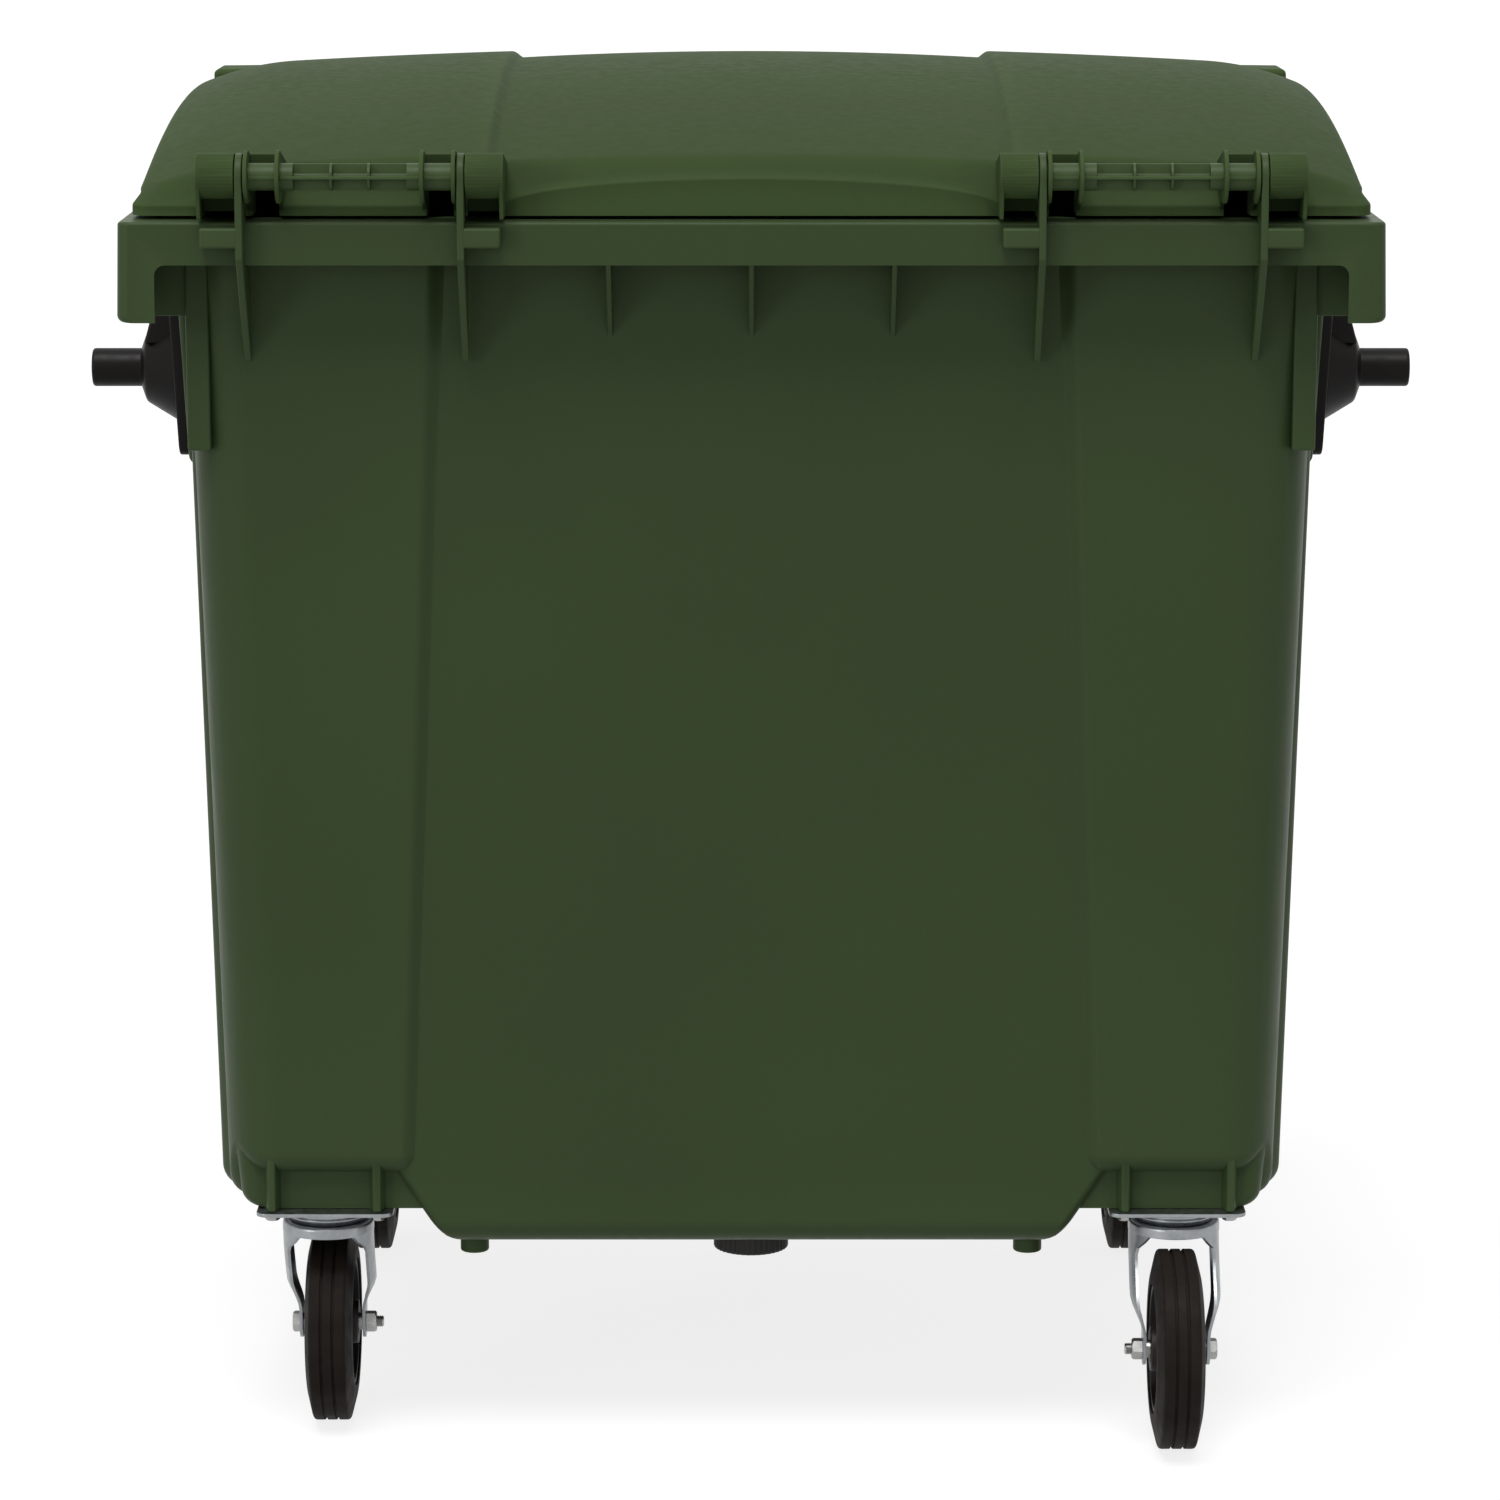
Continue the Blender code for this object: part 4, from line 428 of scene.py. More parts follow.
# Noise patterns: scale, detail and, where it isn't even, stretch
DRIFT = (2.2, 3.0)
SPECKLE = (420.0, 2.0)
SCUFFS = (30.0, 6.0, (3.0, 3.0, 0.5))
WAVES = (7.0, 1.0)
STAINS = (45.0, 5.0)
STREAKS = (120.0, 3.0, (1.0, 1.0, 0.15))
DUST = (26.0, 5.0)
SPOTS = (60.0, 3.0)
# Ranges: the low and high value of a pattern and what they turn into
DRIFT_RANGE = (0.3, 0.7, 0.955, 1.045)
SPECKLE_RANGE = (0.3, 0.7, 0.97, 1.03)
SPANGLE_RANGE = (0.0, 1.0, 0.94, 1.06)
STAIN_RANGE = (0.35, 0.7, 1.05, 0.86)
DUST_RANGE = (0.35, 0.75, 0.9, 1.35)
# Pointiness range over which sharp edges are made paler: a painted highlight on the edges
EDGE_HIGHLIGHT_FROM = 0.50
EDGE_HIGHLIGHT_TO = 0.60
# Roughness: the low and high value of a pattern and what they add
PLASTIC_DULLNESS = (0.35, 0.75, -0.04, 0.06)
STEEL_DULLNESS = (0.3, 0.7, -0.06, 0.10)
RUBBER_DULLNESS = (0.3, 0.7, -0.08, 0.08)
# Bumps: strength and distance
WAVE_BUMP = (0.06, 0.0005)
GRAIN_BUMP = (0.25, 0.00010)
STREAK_BUMP = (0.2, 0.00008)
CELL_BUMP = (0.5, 0.0003)
LEATHER_BUMP = (0.5, 0.0001)
LEATHER_FINENESS = 2.5
LEATHER_DETAIL = 3.0
GRAIN_DETAIL = 2.0

# The materials by slot, filled by make_finishes
FINISHES = {}


# Shapes

def lerp(low, high, share):
    return low + (high - low) * share


def smooth(share):
    """An S-curve from 0 to 1, flat at both ends."""
    share = min(max(share, 0.0), 1.0)
    return share * share * (3.0 - 2.0 * share)


def arc(centre, radius, start, end, steps):
    """Points on a circle from one angle in degrees to another, both ends included."""
    turns = [math.radians(lerp(start, end, i / steps)) for i in range(steps + 1)]
    return [(centre[0] + radius * math.cos(t), centre[1] + radius * math.sin(t)) for t in turns]


def fillet(radius, steps):
    """How far each step of a fillet lies in from its side and up from its foot, from the foot on."""
    turns = [math.radians(90 * step / steps) for step in range(steps + 1)]
    return [(radius * (1.0 - math.sin(t)), radius * (1.0 - math.cos(t))) for t in turns]


def rounded_rectangle(half_x, half_y, radius, steps):
    """The outline of a rectangle round the origin, with its four corners rounded."""
    points = []
    for x_side, y_side, start in ((1, 1, 0), (-1, 1, 90), (-1, -1, 180), (1, -1, 270)):
        centre = (x_side * (half_x - radius), y_side * (half_y - radius))
        points += arc(centre, radius, start, start + 90, steps)
    return points


def along(axis, a, b, height):
    """A point from two coordinates across an axis and one along it."""
    if axis == "X":
        return Vector((height, a, b))
    if axis == "Y":
        return Vector((a, height, b))
    return Vector((a, b, height))


def linked(name, data):
    """A new object in the scene."""
    obj = bpy.data.objects.new(name, data)
    bpy.context.scene.collection.objects.link(obj)
    return obj


def make_object(name, points, faces):
    """A mesh object with its faces turned outwards."""
    mesh = bpy.data.meshes.new(name)
    mesh.from_pydata(points, [], faces)
    shape = bmesh.new()
    shape.from_mesh(mesh)
    bmesh.ops.recalc_face_normals(shape, faces=shape.faces)
    shape.to_mesh(mesh)
    shape.free()
    return linked(name, mesh)


def loft(name, rings):
    """A closed solid through rings of equally many points, capped at both ends."""
    count = len(rings[0])
    points = [point for ring in rings for point in ring]
    faces = [list(range(count))[::-1]]
    for level in range(len(rings) - 1):
        low = level * count
        for i in range(count):
            j = (i + 1) % count
            faces.append([low + i, low + j, low + count + j, low + count + i])
    faces.append(list(range(len(points) - count, len(points))))
    return make_object(name, points, faces)


def prism(name, outline, axis, start, end):
    """An outline drawn across an axis and extruded along it."""
    return loft(name, [[along(axis, a, b, height) for a, b in outline] for height in sorted((start, end))])


def box(name, first, second):
    """A box between two opposite corners, given in any order."""
    low, high = [[pick(pair) for pair in zip(first, second)] for pick in (min, max)]
    outline = [(low[0], low[1]), (high[0], low[1]), (high[0], high[1]), (low[0], high[1])]
    return prism(name, outline, "Z", low[2], high[2])


def revolve(name, profile, axis, steps, centre=(0.0, 0.0, 0.0)):
    """A closed profile of (radius, height) points turned round an axis through the centre."""
    points = []
    rings = []
    for radius, height in profile:
        count = steps if radius > 0 else 1
        rings.append(list(range(len(points), len(points) + count)))
        for i in range(count):
            turn = 2 * math.pi * i / steps
            offset = along(axis, radius * math.cos(turn), radius * math.sin(turn), height)
            points.append(Vector(centre) + offset)
    faces = []
    for first, second in zip(rings, rings[1:] + rings[:1]):
        if len(first) == 1 and len(second) == 1:
            continue
        for i in range(steps):
            j = (i + 1) % steps
            loop = [first[i % len(first)], first[j % len(first)]]
            loop += [second[j % len(second)], second[i % len(second)]]
            faces.append(list(dict.fromkeys(loop)))
    return make_object(name, points, faces)


def cylinder(name, radius, axis, start, end, steps, centre=(0.0, 0.0, 0.0)):
    return revolve(name, [(0, start), (radius, start), (radius, end), (0, end)], axis, steps, centre)


def rounded_path(points, cuts, steps):
    """A path whose inner corners are rounded, each from its cut before to its cut after the corner."""
    path = [points[0]]
    for before, corner, after, cut_length in zip(points, points[1:], points[2:], cuts):
        start = corner + (before - corner).normalized() * cut_length
        end = corner + (after - corner).normalized() * cut_length
        for i in range(steps + 1):
            share = i / steps
            path.append(start.lerp(corner, share).lerp(corner.lerp(end, share), share))
    path.append(points[-1])
    return path


def rounded_profile(points, cuts, steps):
    """The same rounding for a flat profile of (radius, height) points."""
    path = rounded_path([Vector((a, b, 0.0)) for a, b in points], cuts, steps)
    return [(point.x, point.y) for point in path]


def applied(obj):
    """Turn an object's modifiers into its mesh."""
    graph = bpy.context.evaluated_depsgraph_get()
    graph.update()
    result = bpy.data.meshes.new_from_object(obj.evaluated_get(graph))
    obj.modifiers.clear()
    obj.data = result
    return obj


def bevelled(obj, width, segments=3, angle=EDGE_ANGLE):
    """Round the edges of an object."""
    modifier = obj.modifiers.new("edge", "BEVEL")
    modifier.width = width
    modifier.segments = segments
    modifier.limit_method = "ANGLE"
    modifier.angle_limit = math.radians(angle)
    return applied(obj)


def combine(base, tools, operation):
    """Apply one exact Boolean between an object and its tools, and remove the tools."""
    helpers = bpy.data.collections.new("tools")
    bpy.context.scene.collection.children.link(helpers)
    for tool in tools:
        helpers.objects.link(tool)
    modifier = base.modifiers.new("combine", "BOOLEAN")
    modifier.operation = operation
    modifier.operand_type = "COLLECTION"
    modifier.collection = helpers
    modifier.solver = "EXACT"
    applied(base)
    for tool in tools:
        bpy.data.objects.remove(tool, do_unlink=True)
    bpy.data.collections.remove(helpers)
    return base


def union(base, tools):
    return combine(base, tools, "UNION")


def cut(base, tools):
    return combine(base, tools, "DIFFERENCE")


def joined(name, objects):
    """One object from several that don't need to be fused."""
    shape = bmesh.new()
    for obj in objects:
        shape.from_mesh(obj.data)
        bpy.data.objects.remove(obj, do_unlink=True)
    mesh = bpy.data.meshes.new(name)
    shape.to_mesh(mesh)
    shape.free()
    return linked(name, mesh)


def dress(obj, name, slot, body, nodes, sharp=SHADING_ANGLE):
    """Finish a piece: its name, material and shading, the body it rides on and the nodes it stands for."""
    obj.name = name
    obj.data.name = name
    obj.data.materials.clear()
    obj.data.materials.append(FINISHES[slot])
    obj.data.shade_smooth()
    obj.data.set_sharp_from_angle(angle=math.radians(sharp))
    modifier = obj.modifiers.new("normals", "WEIGHTED_NORMAL")
    modifier.keep_sharp = True
    applied(obj)
    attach(obj, body)
    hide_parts(*nodes)


# Container body

def tub_ring(z, inset):
    """The tub's plan outline at one height."""
    share = (z - TUB_BOTTOM) / TUB_HEIGHT
    face = lerp(FACE_HALF_DEPTH_LOW, FACE_HALF_DEPTH_TOP, share) - inset
    column = lerp(SIDE_HALF_WIDTH_LOW, SIDE_HALF_WIDTH_TOP, share) - SIDE_STEP - inset
    crease = lerp(CREASE_HALF_WIDTH_LOW, CREASE_HALF_WIDTH_TOP, share)
    radius = max(TUB_CORNER - inset, TUB_WALL)
    quarter = []
    for step in range(9):
        across = step / 8
        x = crease + CREASE_SLOPE * (across - 0.5)
        quarter.append((x, face - PANEL_RECESS * (1.0 - smooth(across))))
    quarter += arc((column - radius, face - radius), radius, 90, 0, 12)
    for step in range(7):
        across = step / 6
        y = SIDE_PANEL_HALF_DEPTH - SIDE_STEP_SLOPE * (across - 0.5)
        quarter.append((column + SIDE_STEP * smooth(across), y))
    outline = quarter + [(x, -y) for x, y in quarter[::-1]]
    outline += [(-x, -y) for x, y in quarter] + [(-x, y) for x, y in quarter[::-1]]
    return outline


def column_lift(x, y):
    """How far the floor's edge is lifted under the columns, and more at their outer corners."""
    start = FACE_HALF_DEPTH_LOW - COLUMN_LIFT_START
    outer = SIDE_HALF_WIDTH_LOW - SIDE_STEP - COLUMN_CORNER_RUN
    across = min(max((abs(x) - outer) / COLUMN_CORNER_RUN, 0.0), 1.0)
    return (COLUMN_LIFT + COLUMN_CORNER_RISE * across ** 2) * smooth((abs(y) - start) / COLUMN_LIFT_RUN)


def tub_form(name, inset, top):
    """The tub as a solid, or its hollow when the inset is the wall."""
    bottom = TUB_BOTTOM + inset
    radius = TUB_FILLET - inset
    start = COLUMN_LIFT_START + SINK
    levels = [(lerp(start, inset + radius, step / 8), bottom) for step in range(8)]
    levels += [(inset + deep, bottom + up) for deep, up in fillet(radius, 8)]
    rings = [[Vector((x, y, z + column_lift(x, y))) for x, y in tub_ring(z, deep)] for deep, z in levels]
    low = levels[-1][1]
    for step in range(1, 9):
        z = lerp(low, top, step / 8)
        lift = 1.0 - step / 8
        rings.append([Vector((x, y, z + column_lift(x, y) * lift)) for x, y in tub_ring(z, inset)])
    return loft(name, rings)


def hopper_form(name, inset):
    """The hopper under the tub and the panels above it as a solid, or its hollow."""
    bottom = HOPPER_BOTTOM + inset
    levels = [(inset + deep, bottom + up) for deep, up in fillet(HOPPER_FILLET - inset, 8)]
    top = TUB_BOTTOM + HOPPER_OVERLAP
    levels += [(inset, z) for z in (TUB_BOTTOM + TUB_FILLET, top, RIM_TOP - RIM_WALL / 3)]
    rings = []
    for deep, z in levels:
        rise = min((z - HOPPER_BOTTOM) / (top - HOPPER_BOTTOM), 1.0)
        side = inset + (deep - inset) * HOPPER_SIDE_FILLET / HOPPER_FILLET
        half_x = HOPPER_HALF_WIDTH + HOPPER_FLARE * rise - side
        half_y = face_at(z) - PANEL_RECESS + HOPPER_PROUD - deep
        outline = rounded_rectangle(half_x, half_y, max(HOPPER_CORNER - deep, TUB_WALL), 6)
        rings.append([Vector((x, y, z)) for x, y in outline])
    return loft(name, rings)


def rim_form():
    """The rim: a top plate with skirts, deeper at the sides and at both ends of each broad side."""
    low = RIM_TOP - END_PLATE_HEIGHT
    width = RIM_HALF_WIDTH + RIM_FLARE
    levels = [(low + up, width - deep, 0.0) for deep, up in fillet(END_PLATE_ROUND, 6)]
    levels += [(RIM_TOP - drop, RIM_HALF_WIDTH - inset, inset) for inset, drop in fillet(RIM_EDGE, 6)[::-1]]
    rings = []
    for z, half_x, inset in levels:
        outline = rounded_rectangle(half_x, RIM_HALF_DEPTH - inset, RIM_CORNER - inset, 8)
        rings.append([Vector((x, y, z)) for x, y in outline])
    hollows = []
    for z, half_x in ((low - OVERRUN, width), (RIM_TOP - RIM_WALL, RIM_HALF_WIDTH)):
        outline = rounded_rectangle(half_x - RIM_WALL, RIM_HALF_DEPTH - RIM_WALL, RIM_CORNER - RIM_WALL, 8)
        hollows.append([Vector((x, y, z)) for x, y in outline])
    half_notch = RIM_HALF_WIDTH - END_PLATE_WIDTH
    corner = (half_notch - NOTCH_CORNER, RIM_TOP - SKIRT_HEIGHT - NOTCH_CORNER)
    outline = [(half_notch, low - OVERRUN)] + arc(corner, NOTCH_CORNER, 0, 90, 8)
    outline += [(-x, z) for x, z in outline[::-1]]
    reach = RIM_HALF_DEPTH + OVERRUN
    rim = cut(loft("rim", rings), [loft("hollow", hollows), prism("notch", outline, "Y", -reach, reach)])
    return bevelled(rim, THIN_EDGE, 2, STEEP_EDGE_ANGLE)


def face_at(z):
    """How far the columns' plane lies from the middle at one height."""
    return lerp(FACE_HALF_DEPTH_LOW, FACE_HALF_DEPTH_TOP, (z - TUB_BOTTOM) / TUB_HEIGHT)


def side_at(z):
    return lerp(SIDE_HALF_WIDTH_LOW, SIDE_HALF_WIDTH_TOP, (z - TUB_BOTTOM) / TUB_HEIGHT)


def rim_gussets():
    low = RIM_TOP - GUSSET_HEIGHT
    top = RIM_TOP - RIM_WALL / 2
    skirt = RIM_HALF_DEPTH - RIM_WALL / 2
    wall_low, wall_top = [face_at(z) - PANEL_RECESS - TUB_WALL / 2 for z in (low, top)]
    outline = [(skirt, top), (skirt, RIM_TOP - SKIRT_HEIGHT), (wall_low, low), (wall_top, top)]
    plates = []
    for side in SIDES:
        shape = [(side * y, z) for y, z in outline]
        for place in (-1, 0, 1):
            x = place * GUSSET_SPACING
            plate = prism("gusset", shape, "X", x - RIM_WALL / 2, x + RIM_WALL / 2)
            plates.append(bevelled(plate, SMALL_EDGE))
    return plates


def corner_webs():
    inner = SIDE_HALF_WIDTH_TOP - SIDE_STEP - TUB_CORNER / 2
    outer = RIM_HALF_WIDTH - RIM_WALL / 2
    plates = []
    for x_side, y_side in CORNERS:
        y = y_side * (RIM_HALF_DEPTH - WEB_PLATE_SETBACK)
        low = (x_side * inner, y - RIM_WALL / 2, RIM_TOP - END_PLATE_HEIGHT)
        high = (x_side * outer, y + RIM_WALL / 2, RIM_TOP - RIM_WALL / 2)
        plates.append(bevelled(box("web", low, high), SMALL_EDGE))
    return plates


def corner_posts():
    outer = SIDE_HALF_WIDTH_TOP - SIDE_STEP - POST_INSET
    far = FACE_HALF_DEPTH_TOP - POST_SETBACK
    posts = []
    for x_side, y_side in CORNERS:
        low = (x_side * outer, y_side * far, RIM_TOP - RIM_WALL - POST_HEIGHT)
        high = (x_side * (outer - POST_WIDTH), y_side * (far - POST_DEPTH), RIM_TOP - RIM_WALL / 2)
        posts.append(bevelled(box("post", low, high), SOFT_EDGE))
    return posts


def pad_face(z):
    """How far the trunnion pad's sloped face lies from the middle at one height."""
    top = RIM_TOP - PAD_BELOW_RIM
    share = (top - z) / PAD_HEIGHT
    return lerp(side_at(top) + PAD_STAND_OUT_TOP, side_at(top - PAD_HEIGHT) + PAD_STAND_OUT_LOW, share)


def trunnion_pad(side, inset):
    """The swelling of the tub's side that carries a trunnion, or its hollow."""
    top = RIM_TOP - PAD_BELOW_RIM
    low = top - PAD_HEIGHT
    shoulder = top - PAD_SLOPE_HEIGHT
    foot = low + PAD_SLOPE_HEIGHT
    root = TUB_WALL / 2 if inset == 0 else TUB_WALL + OVERRUN
    outline = [
        (side_at(top) - root, top - inset),
        (pad_face(shoulder) - inset, shoulder - inset),
        (pad_face(foot) - inset, foot + inset),
        (side_at(low) - root, low + inset),
    ]
    reach = PAD_HALF_DEPTH - inset
    pad = prism("pad", [(side * x, z) for x, z in outline], "Y", -reach, reach)
    return bevelled(pad, PAD_EDGE if inset == 0 else BLUNT_EDGE)


def caster_block(x_side, y_side):
    """A block under a column, its outer side rounded at the foot and leaning out above."""
    levels = [(BLOCK_LOW + up, -deep) for deep, up in fillet(BLOCK_CORNER, 8)]
    levels.append((TUB_BOTTOM + COLUMN_LIFT + COLUMN_CORNER_RISE + TUB_WALL, BLOCK_LEAN))
    rings = []
    for z, shift in levels:
        side = BLOCK_OUTER + shift
        centre = (side - BLOCK_PLAN_CORNER, BLOCK_FRONT - BLOCK_PLAN_CORNER)
        outline = [(BLOCK_INNER, BLOCK_BACK), (side, BLOCK_BACK)]
        outline += arc(centre, BLOCK_PLAN_CORNER, 0, 90, 12) + [(BLOCK_INNER, BLOCK_FRONT)]
        rings.append([Vector((x_side * x, y_side * y, z)) for x, y in outline])
    return bevelled(loft("block", rings), ROUND_EDGE, 2, STEEP_EDGE_ANGLE)


def caster_blocks():
    """The blocks that the casters' plates are bolted to, each with two tapered ribs outside."""
    solids = []
    for x_side, y_side in CORNERS:
        solids.append(caster_block(x_side, y_side))
        root = y_side * (BLOCK_FRONT - SINK)
        tip = y_side * (BLOCK_FRONT + BLOCK_RIB_REACH)
        for offset in SIDES:
            x = x_side * (CASTER_HALF_SPACING_X + offset * PLATE_HOLE_SPACING_X / 2)
            outline = [
                (x - BLOCK_RIB_ROOT / 2, root),
                (x - BLOCK_RIB_THICKNESS / 2, tip),
                (x + BLOCK_RIB_THICKNESS / 2, tip),
                (x + BLOCK_RIB_ROOT / 2, root),
            ]
            rib = prism("block_rib", outline, "Z", BLOCK_LOW, BLOCK_LOW + BLOCK_RIB_RISE)
            solids.append(bevelled(rib, ROUND_EDGE))
    return solids


def floor_pads():
    """Raised pads on the tub's floor, which thicken it over the inner bolts of each caster."""
    half = PLATE_LENGTH / 2 + FLOOR_PAD_MARGIN
    pads = []
    for x_side, y_side in CORNERS:
        x = x_side * CASTER_HALF_SPACING_X
        low = (x - half, y_side * BLOCK_BACK, TUB_BOTTOM + TUB_WALL / 2)
        high = (x + half, y_side * (BLOCK_FRONT - TUB_FILLET), BLOCK_LOW + FLOOR_PAD_HEIGHT)
        pads.append(box("floor_pad", low, high))
    return pads


def lug_places():
    """The middle of each hinge lug along X, with the side of the hinge that it closes."""
    return [(side * (HINGE_CENTRE + end * LUG_HALF_SPACING), side * end) for side in SIDES for end in SIDES]


def hinge_lugs():
    """Plates with a round head over the hinge axis, which run down the tub as ribs."""
    rear = HINGE_Y - LUG_RADIUS
    low = RIM_TOP - LUG_RIB_DROP
    outline = arc((HINGE_Y, HINGE_Z), LUG_RADIUS, 0, 180, 20)
    outline.append((rear, RIM_TOP - LUG_SKIRT_DROP))
    outline.append((-face_at(low) - SINK, low + SINK))
    outline.append((-face_at(low) + TUB_WALL / 2, low))
    outline.append((-face_at(RIM_TOP) + TUB_WALL / 2, RIM_TOP - RIM_WALL / 2))
    outline.append((HINGE_Y + LUG_RADIUS, RIM_TOP - RIM_WALL / 2))
    lugs = []
    for x, _ in lug_places():
        lug = prism("lug", outline, "X", x - LUG_THICKNESS / 2, x + LUG_THICKNESS / 2)
        lugs.append(bevelled(lug, LUG_EDGE))
    return lugs


def stop_tabs():
    """Tabs on the rear skirt that stop the lid when it is thrown back."""
    top = RIM_TOP - TAB_BELOW_RIM
    tabs = []
    for x, outward in lug_places():
        start = x + outward * (LUG_THICKNESS / 2 - SINK)
        end = x + outward * (LUG_THICKNESS / 2 + TAB_LENGTH)
        low = (start, -RIM_HALF_DEPTH - TAB_REACH, top - TAB_HEIGHT)
        tabs.append(bevelled(box("tab", low, (end, -RIM_HALF_DEPTH + RIM_WALL / 2, top)), SOFT_EDGE))
    return tabs


def feet():
    top = TUB_WALL / 2
    profile = [(0, -FOOT_LENGTH), (FOOT_RADIUS, -FOOT_LENGTH), (FOOT_RADIUS, top), (0, top)]
    profile = rounded_profile(profile, (FOOT_ROUND, HAIRLINE), 4)
    places = [(side * FOOT_PLACE[0], FOOT_PLACE[1], HOPPER_BOTTOM) for side in SIDES]
    return [revolve("foot", profile, "Z", PIN_SIDES, place) for place in places]


def container_body():
    body = tub_form("container_body", 0.0, RIM_TOP - RIM_WALL / 2)
    features = [rim_form(), hopper_form("hopper", 0.0)]
    features += rim_gussets() + corner_webs() + corner_posts()
    features += [trunnion_pad(side, 0.0) for side in SIDES]
    features += caster_blocks() + hinge_lugs() + stop_tabs() + feet()
    union(body, features)
    hollows = [tub_form("tub_hollow", TUB_WALL, RIM_TOP + OVERRUN), hopper_form("hopper_hollow", TUB_WALL)]
    hollows += [trunnion_pad(side, TUB_WALL) for side in SIDES]
    radius = DRAIN_NECK_RADIUS + CLEARANCE
    hollows.append(cylinder("drain_hole", radius, "Z", -OVERRUN, TUB_WALL + OVERRUN, BORE_SIDES, DRAIN_PLACE))
    union(cut(body, hollows), floor_pads())
    reach = LUG_THICKNESS / 2 + CLEARANCE
    bores = []
    for x, _ in lug_places():
        place = (x, HINGE_Y, HINGE_Z)
        bores.append(cylinder("lug_bore", ROD_RADIUS + CLEARANCE, "X", -reach, reach, BORE_SIDES, place))
    radius = PLATE_BOLT_RADIUS + CLEARANCE
    depth = PLATE_BOLT_GRIP + SINK
    for x_side, y_side in CORNERS:
        for x, y in plate_holes():
            place = (x_side * CASTER_HALF_SPACING_X + x, y_side * CASTER_HALF_SPACING_Y + y, BLOCK_LOW)
            bores.append(cylinder("screw_hole", radius, "Z", -OVERRUN, depth, SCREW_SIDES, place))
    cut(body, bores)
    dress(body, "moulded_body", "body_plastic", "container", ["container_body"])


# Lid

def lid_surface(x, y):
    """The height of the lid's outer surface."""
    if y < CROWN_AHEAD:
        z = LID_CROWN - REAR_DROP * ((CROWN_AHEAD - y) / (CROWN_AHEAD + DOME_REAR)) ** 2
    else:
        z = LID_CROWN - FRONT_DROP * ((y - CROWN_AHEAD) / (DOME_FRONT - CROWN_AHEAD)) ** 2
    z -= SIDE_DROP * (x / DOME_HALF_WIDTH) ** 2
    inside = 1.0 - smooth((abs(x) - CENTRE_HALF_WIDTH) / CENTRE_STEP_SLOPE + 0.5)
    bulge = CENTRE_DROP * (1.0 - (x / CENTRE_HALF_WIDTH) ** 2)
    z -= inside * (CENTRE_STEP - bulge / 2)
    nearest = min(DOME_HALF_WIDTH - abs(x), DOME_FRONT - y)
    z -= EDGE_DROP * max(0.0, 1.0 - nearest / EDGE_WIDTH) ** 2
    across = smooth((abs(x) - TROUGH_HALF_WIDTH) / TROUGH_SLOPE_WIDTH)
    return z - TROUGH_DEPTH * across * smooth((y - TROUGH_AHEAD) / TROUGH_SLOPE_LENGTH)


def spread(stops):
    """Grid lines through the given stops, each reached in its own number of steps."""
    values = [stops[0][0]]
    for (start, _), (end, steps) in zip(stops, stops[1:]):
        values += [lerp(start, end, (i + 1) / steps) for i in range(steps)]
    return values


def lid_grid(inset):
    """The dome's grid lines, which stop an inset short of its edges."""
    slope = CENTRE_STEP_SLOPE / 2
    corner = DOME_CORNER - inset
    half_x = DOME_HALF_WIDTH - inset
    half = spread([
        (0.0, 0), (CENTRE_HALF_WIDTH - slope, 10), (CENTRE_HALF_WIDTH + slope, 8),
        (DOME_HALF_WIDTH - EDGE_WIDTH, 12), (TROUGH_HALF_WIDTH, 5), (half_x - corner, 5),
        (half_x, 8),
    ])
    columns = [-x for x in half[:0:-1]] + half
    rear = DOME_REAR - inset
    front = DOME_FRONT - inset
    rows = spread([
        (-rear, 0), (-rear + corner, 6), (CROWN_AHEAD, 20), (TROUGH_AHEAD, 10),
        (TROUGH_AHEAD + TROUGH_SLOPE_LENGTH, 8), (DOME_FRONT - EDGE_WIDTH, 3),
        (front - corner, 6), (front, 6),
    ])
    return columns, rows, corner, half_x, rear, front


def corner_bend(x, y, corner, half_x, rear, front):
    """Bend the grid's square corners round, and give the outward direction there."""
    x_over = abs(x) - (half_x - corner)
    edge = front if y > 0 else rear
    y_over = abs(y) - (edge - corner)
    if x_over <= 0 or y_over <= 0:
        at_side = abs(x) > half_x - FLAT
        normal = (math.copysign(1, x), 0.0) if at_side else (0.0, math.copysign(1, y))
        return x, y, Vector(normal)
    u = x_over / corner
    v = y_over / corner
    bent_u = u * math.sqrt(1.0 - v * v / 2)
    bent_v = v * math.sqrt(1.0 - u * u / 2)
    new_x = math.copysign(half_x - corner + corner * bent_u, x)
    new_y = math.copysign(edge - corner + corner * bent_v, y)
    return new_x, new_y, Vector((math.copysign(bent_u, x), math.copysign(bent_v, y))).normalized()


def lip_height(x, y):
    """The top of the lip, which arches up over the middle of the rear edge."""
    arch = max(0.0, 1.0 - (x / CENTRE_LIP_HALF_WIDTH) ** 2)
    rise = CENTRE_LIP_RISE * math.sqrt(arch) if y < 0 else 0.0
    return LID_BOTTOM + LID_LIP + rise


def ledge_height(x, y):
    """The foot of the dome's wall, above the lip."""
    return max(LID_BOTTOM + LID_LIP + LIP_LEDGE, lip_height(x, y) + LIP_LEDGE / 2)


def stretched(x, y, half_width, rear, front, z):
    """A point of the dome's outline moved out to a wider outline."""
    share = (y + DOME_REAR) / (DOME_FRONT + DOME_REAR)
    return Vector((x * half_width / DOME_HALF_WIDTH, lerp(-rear, front, share), z))


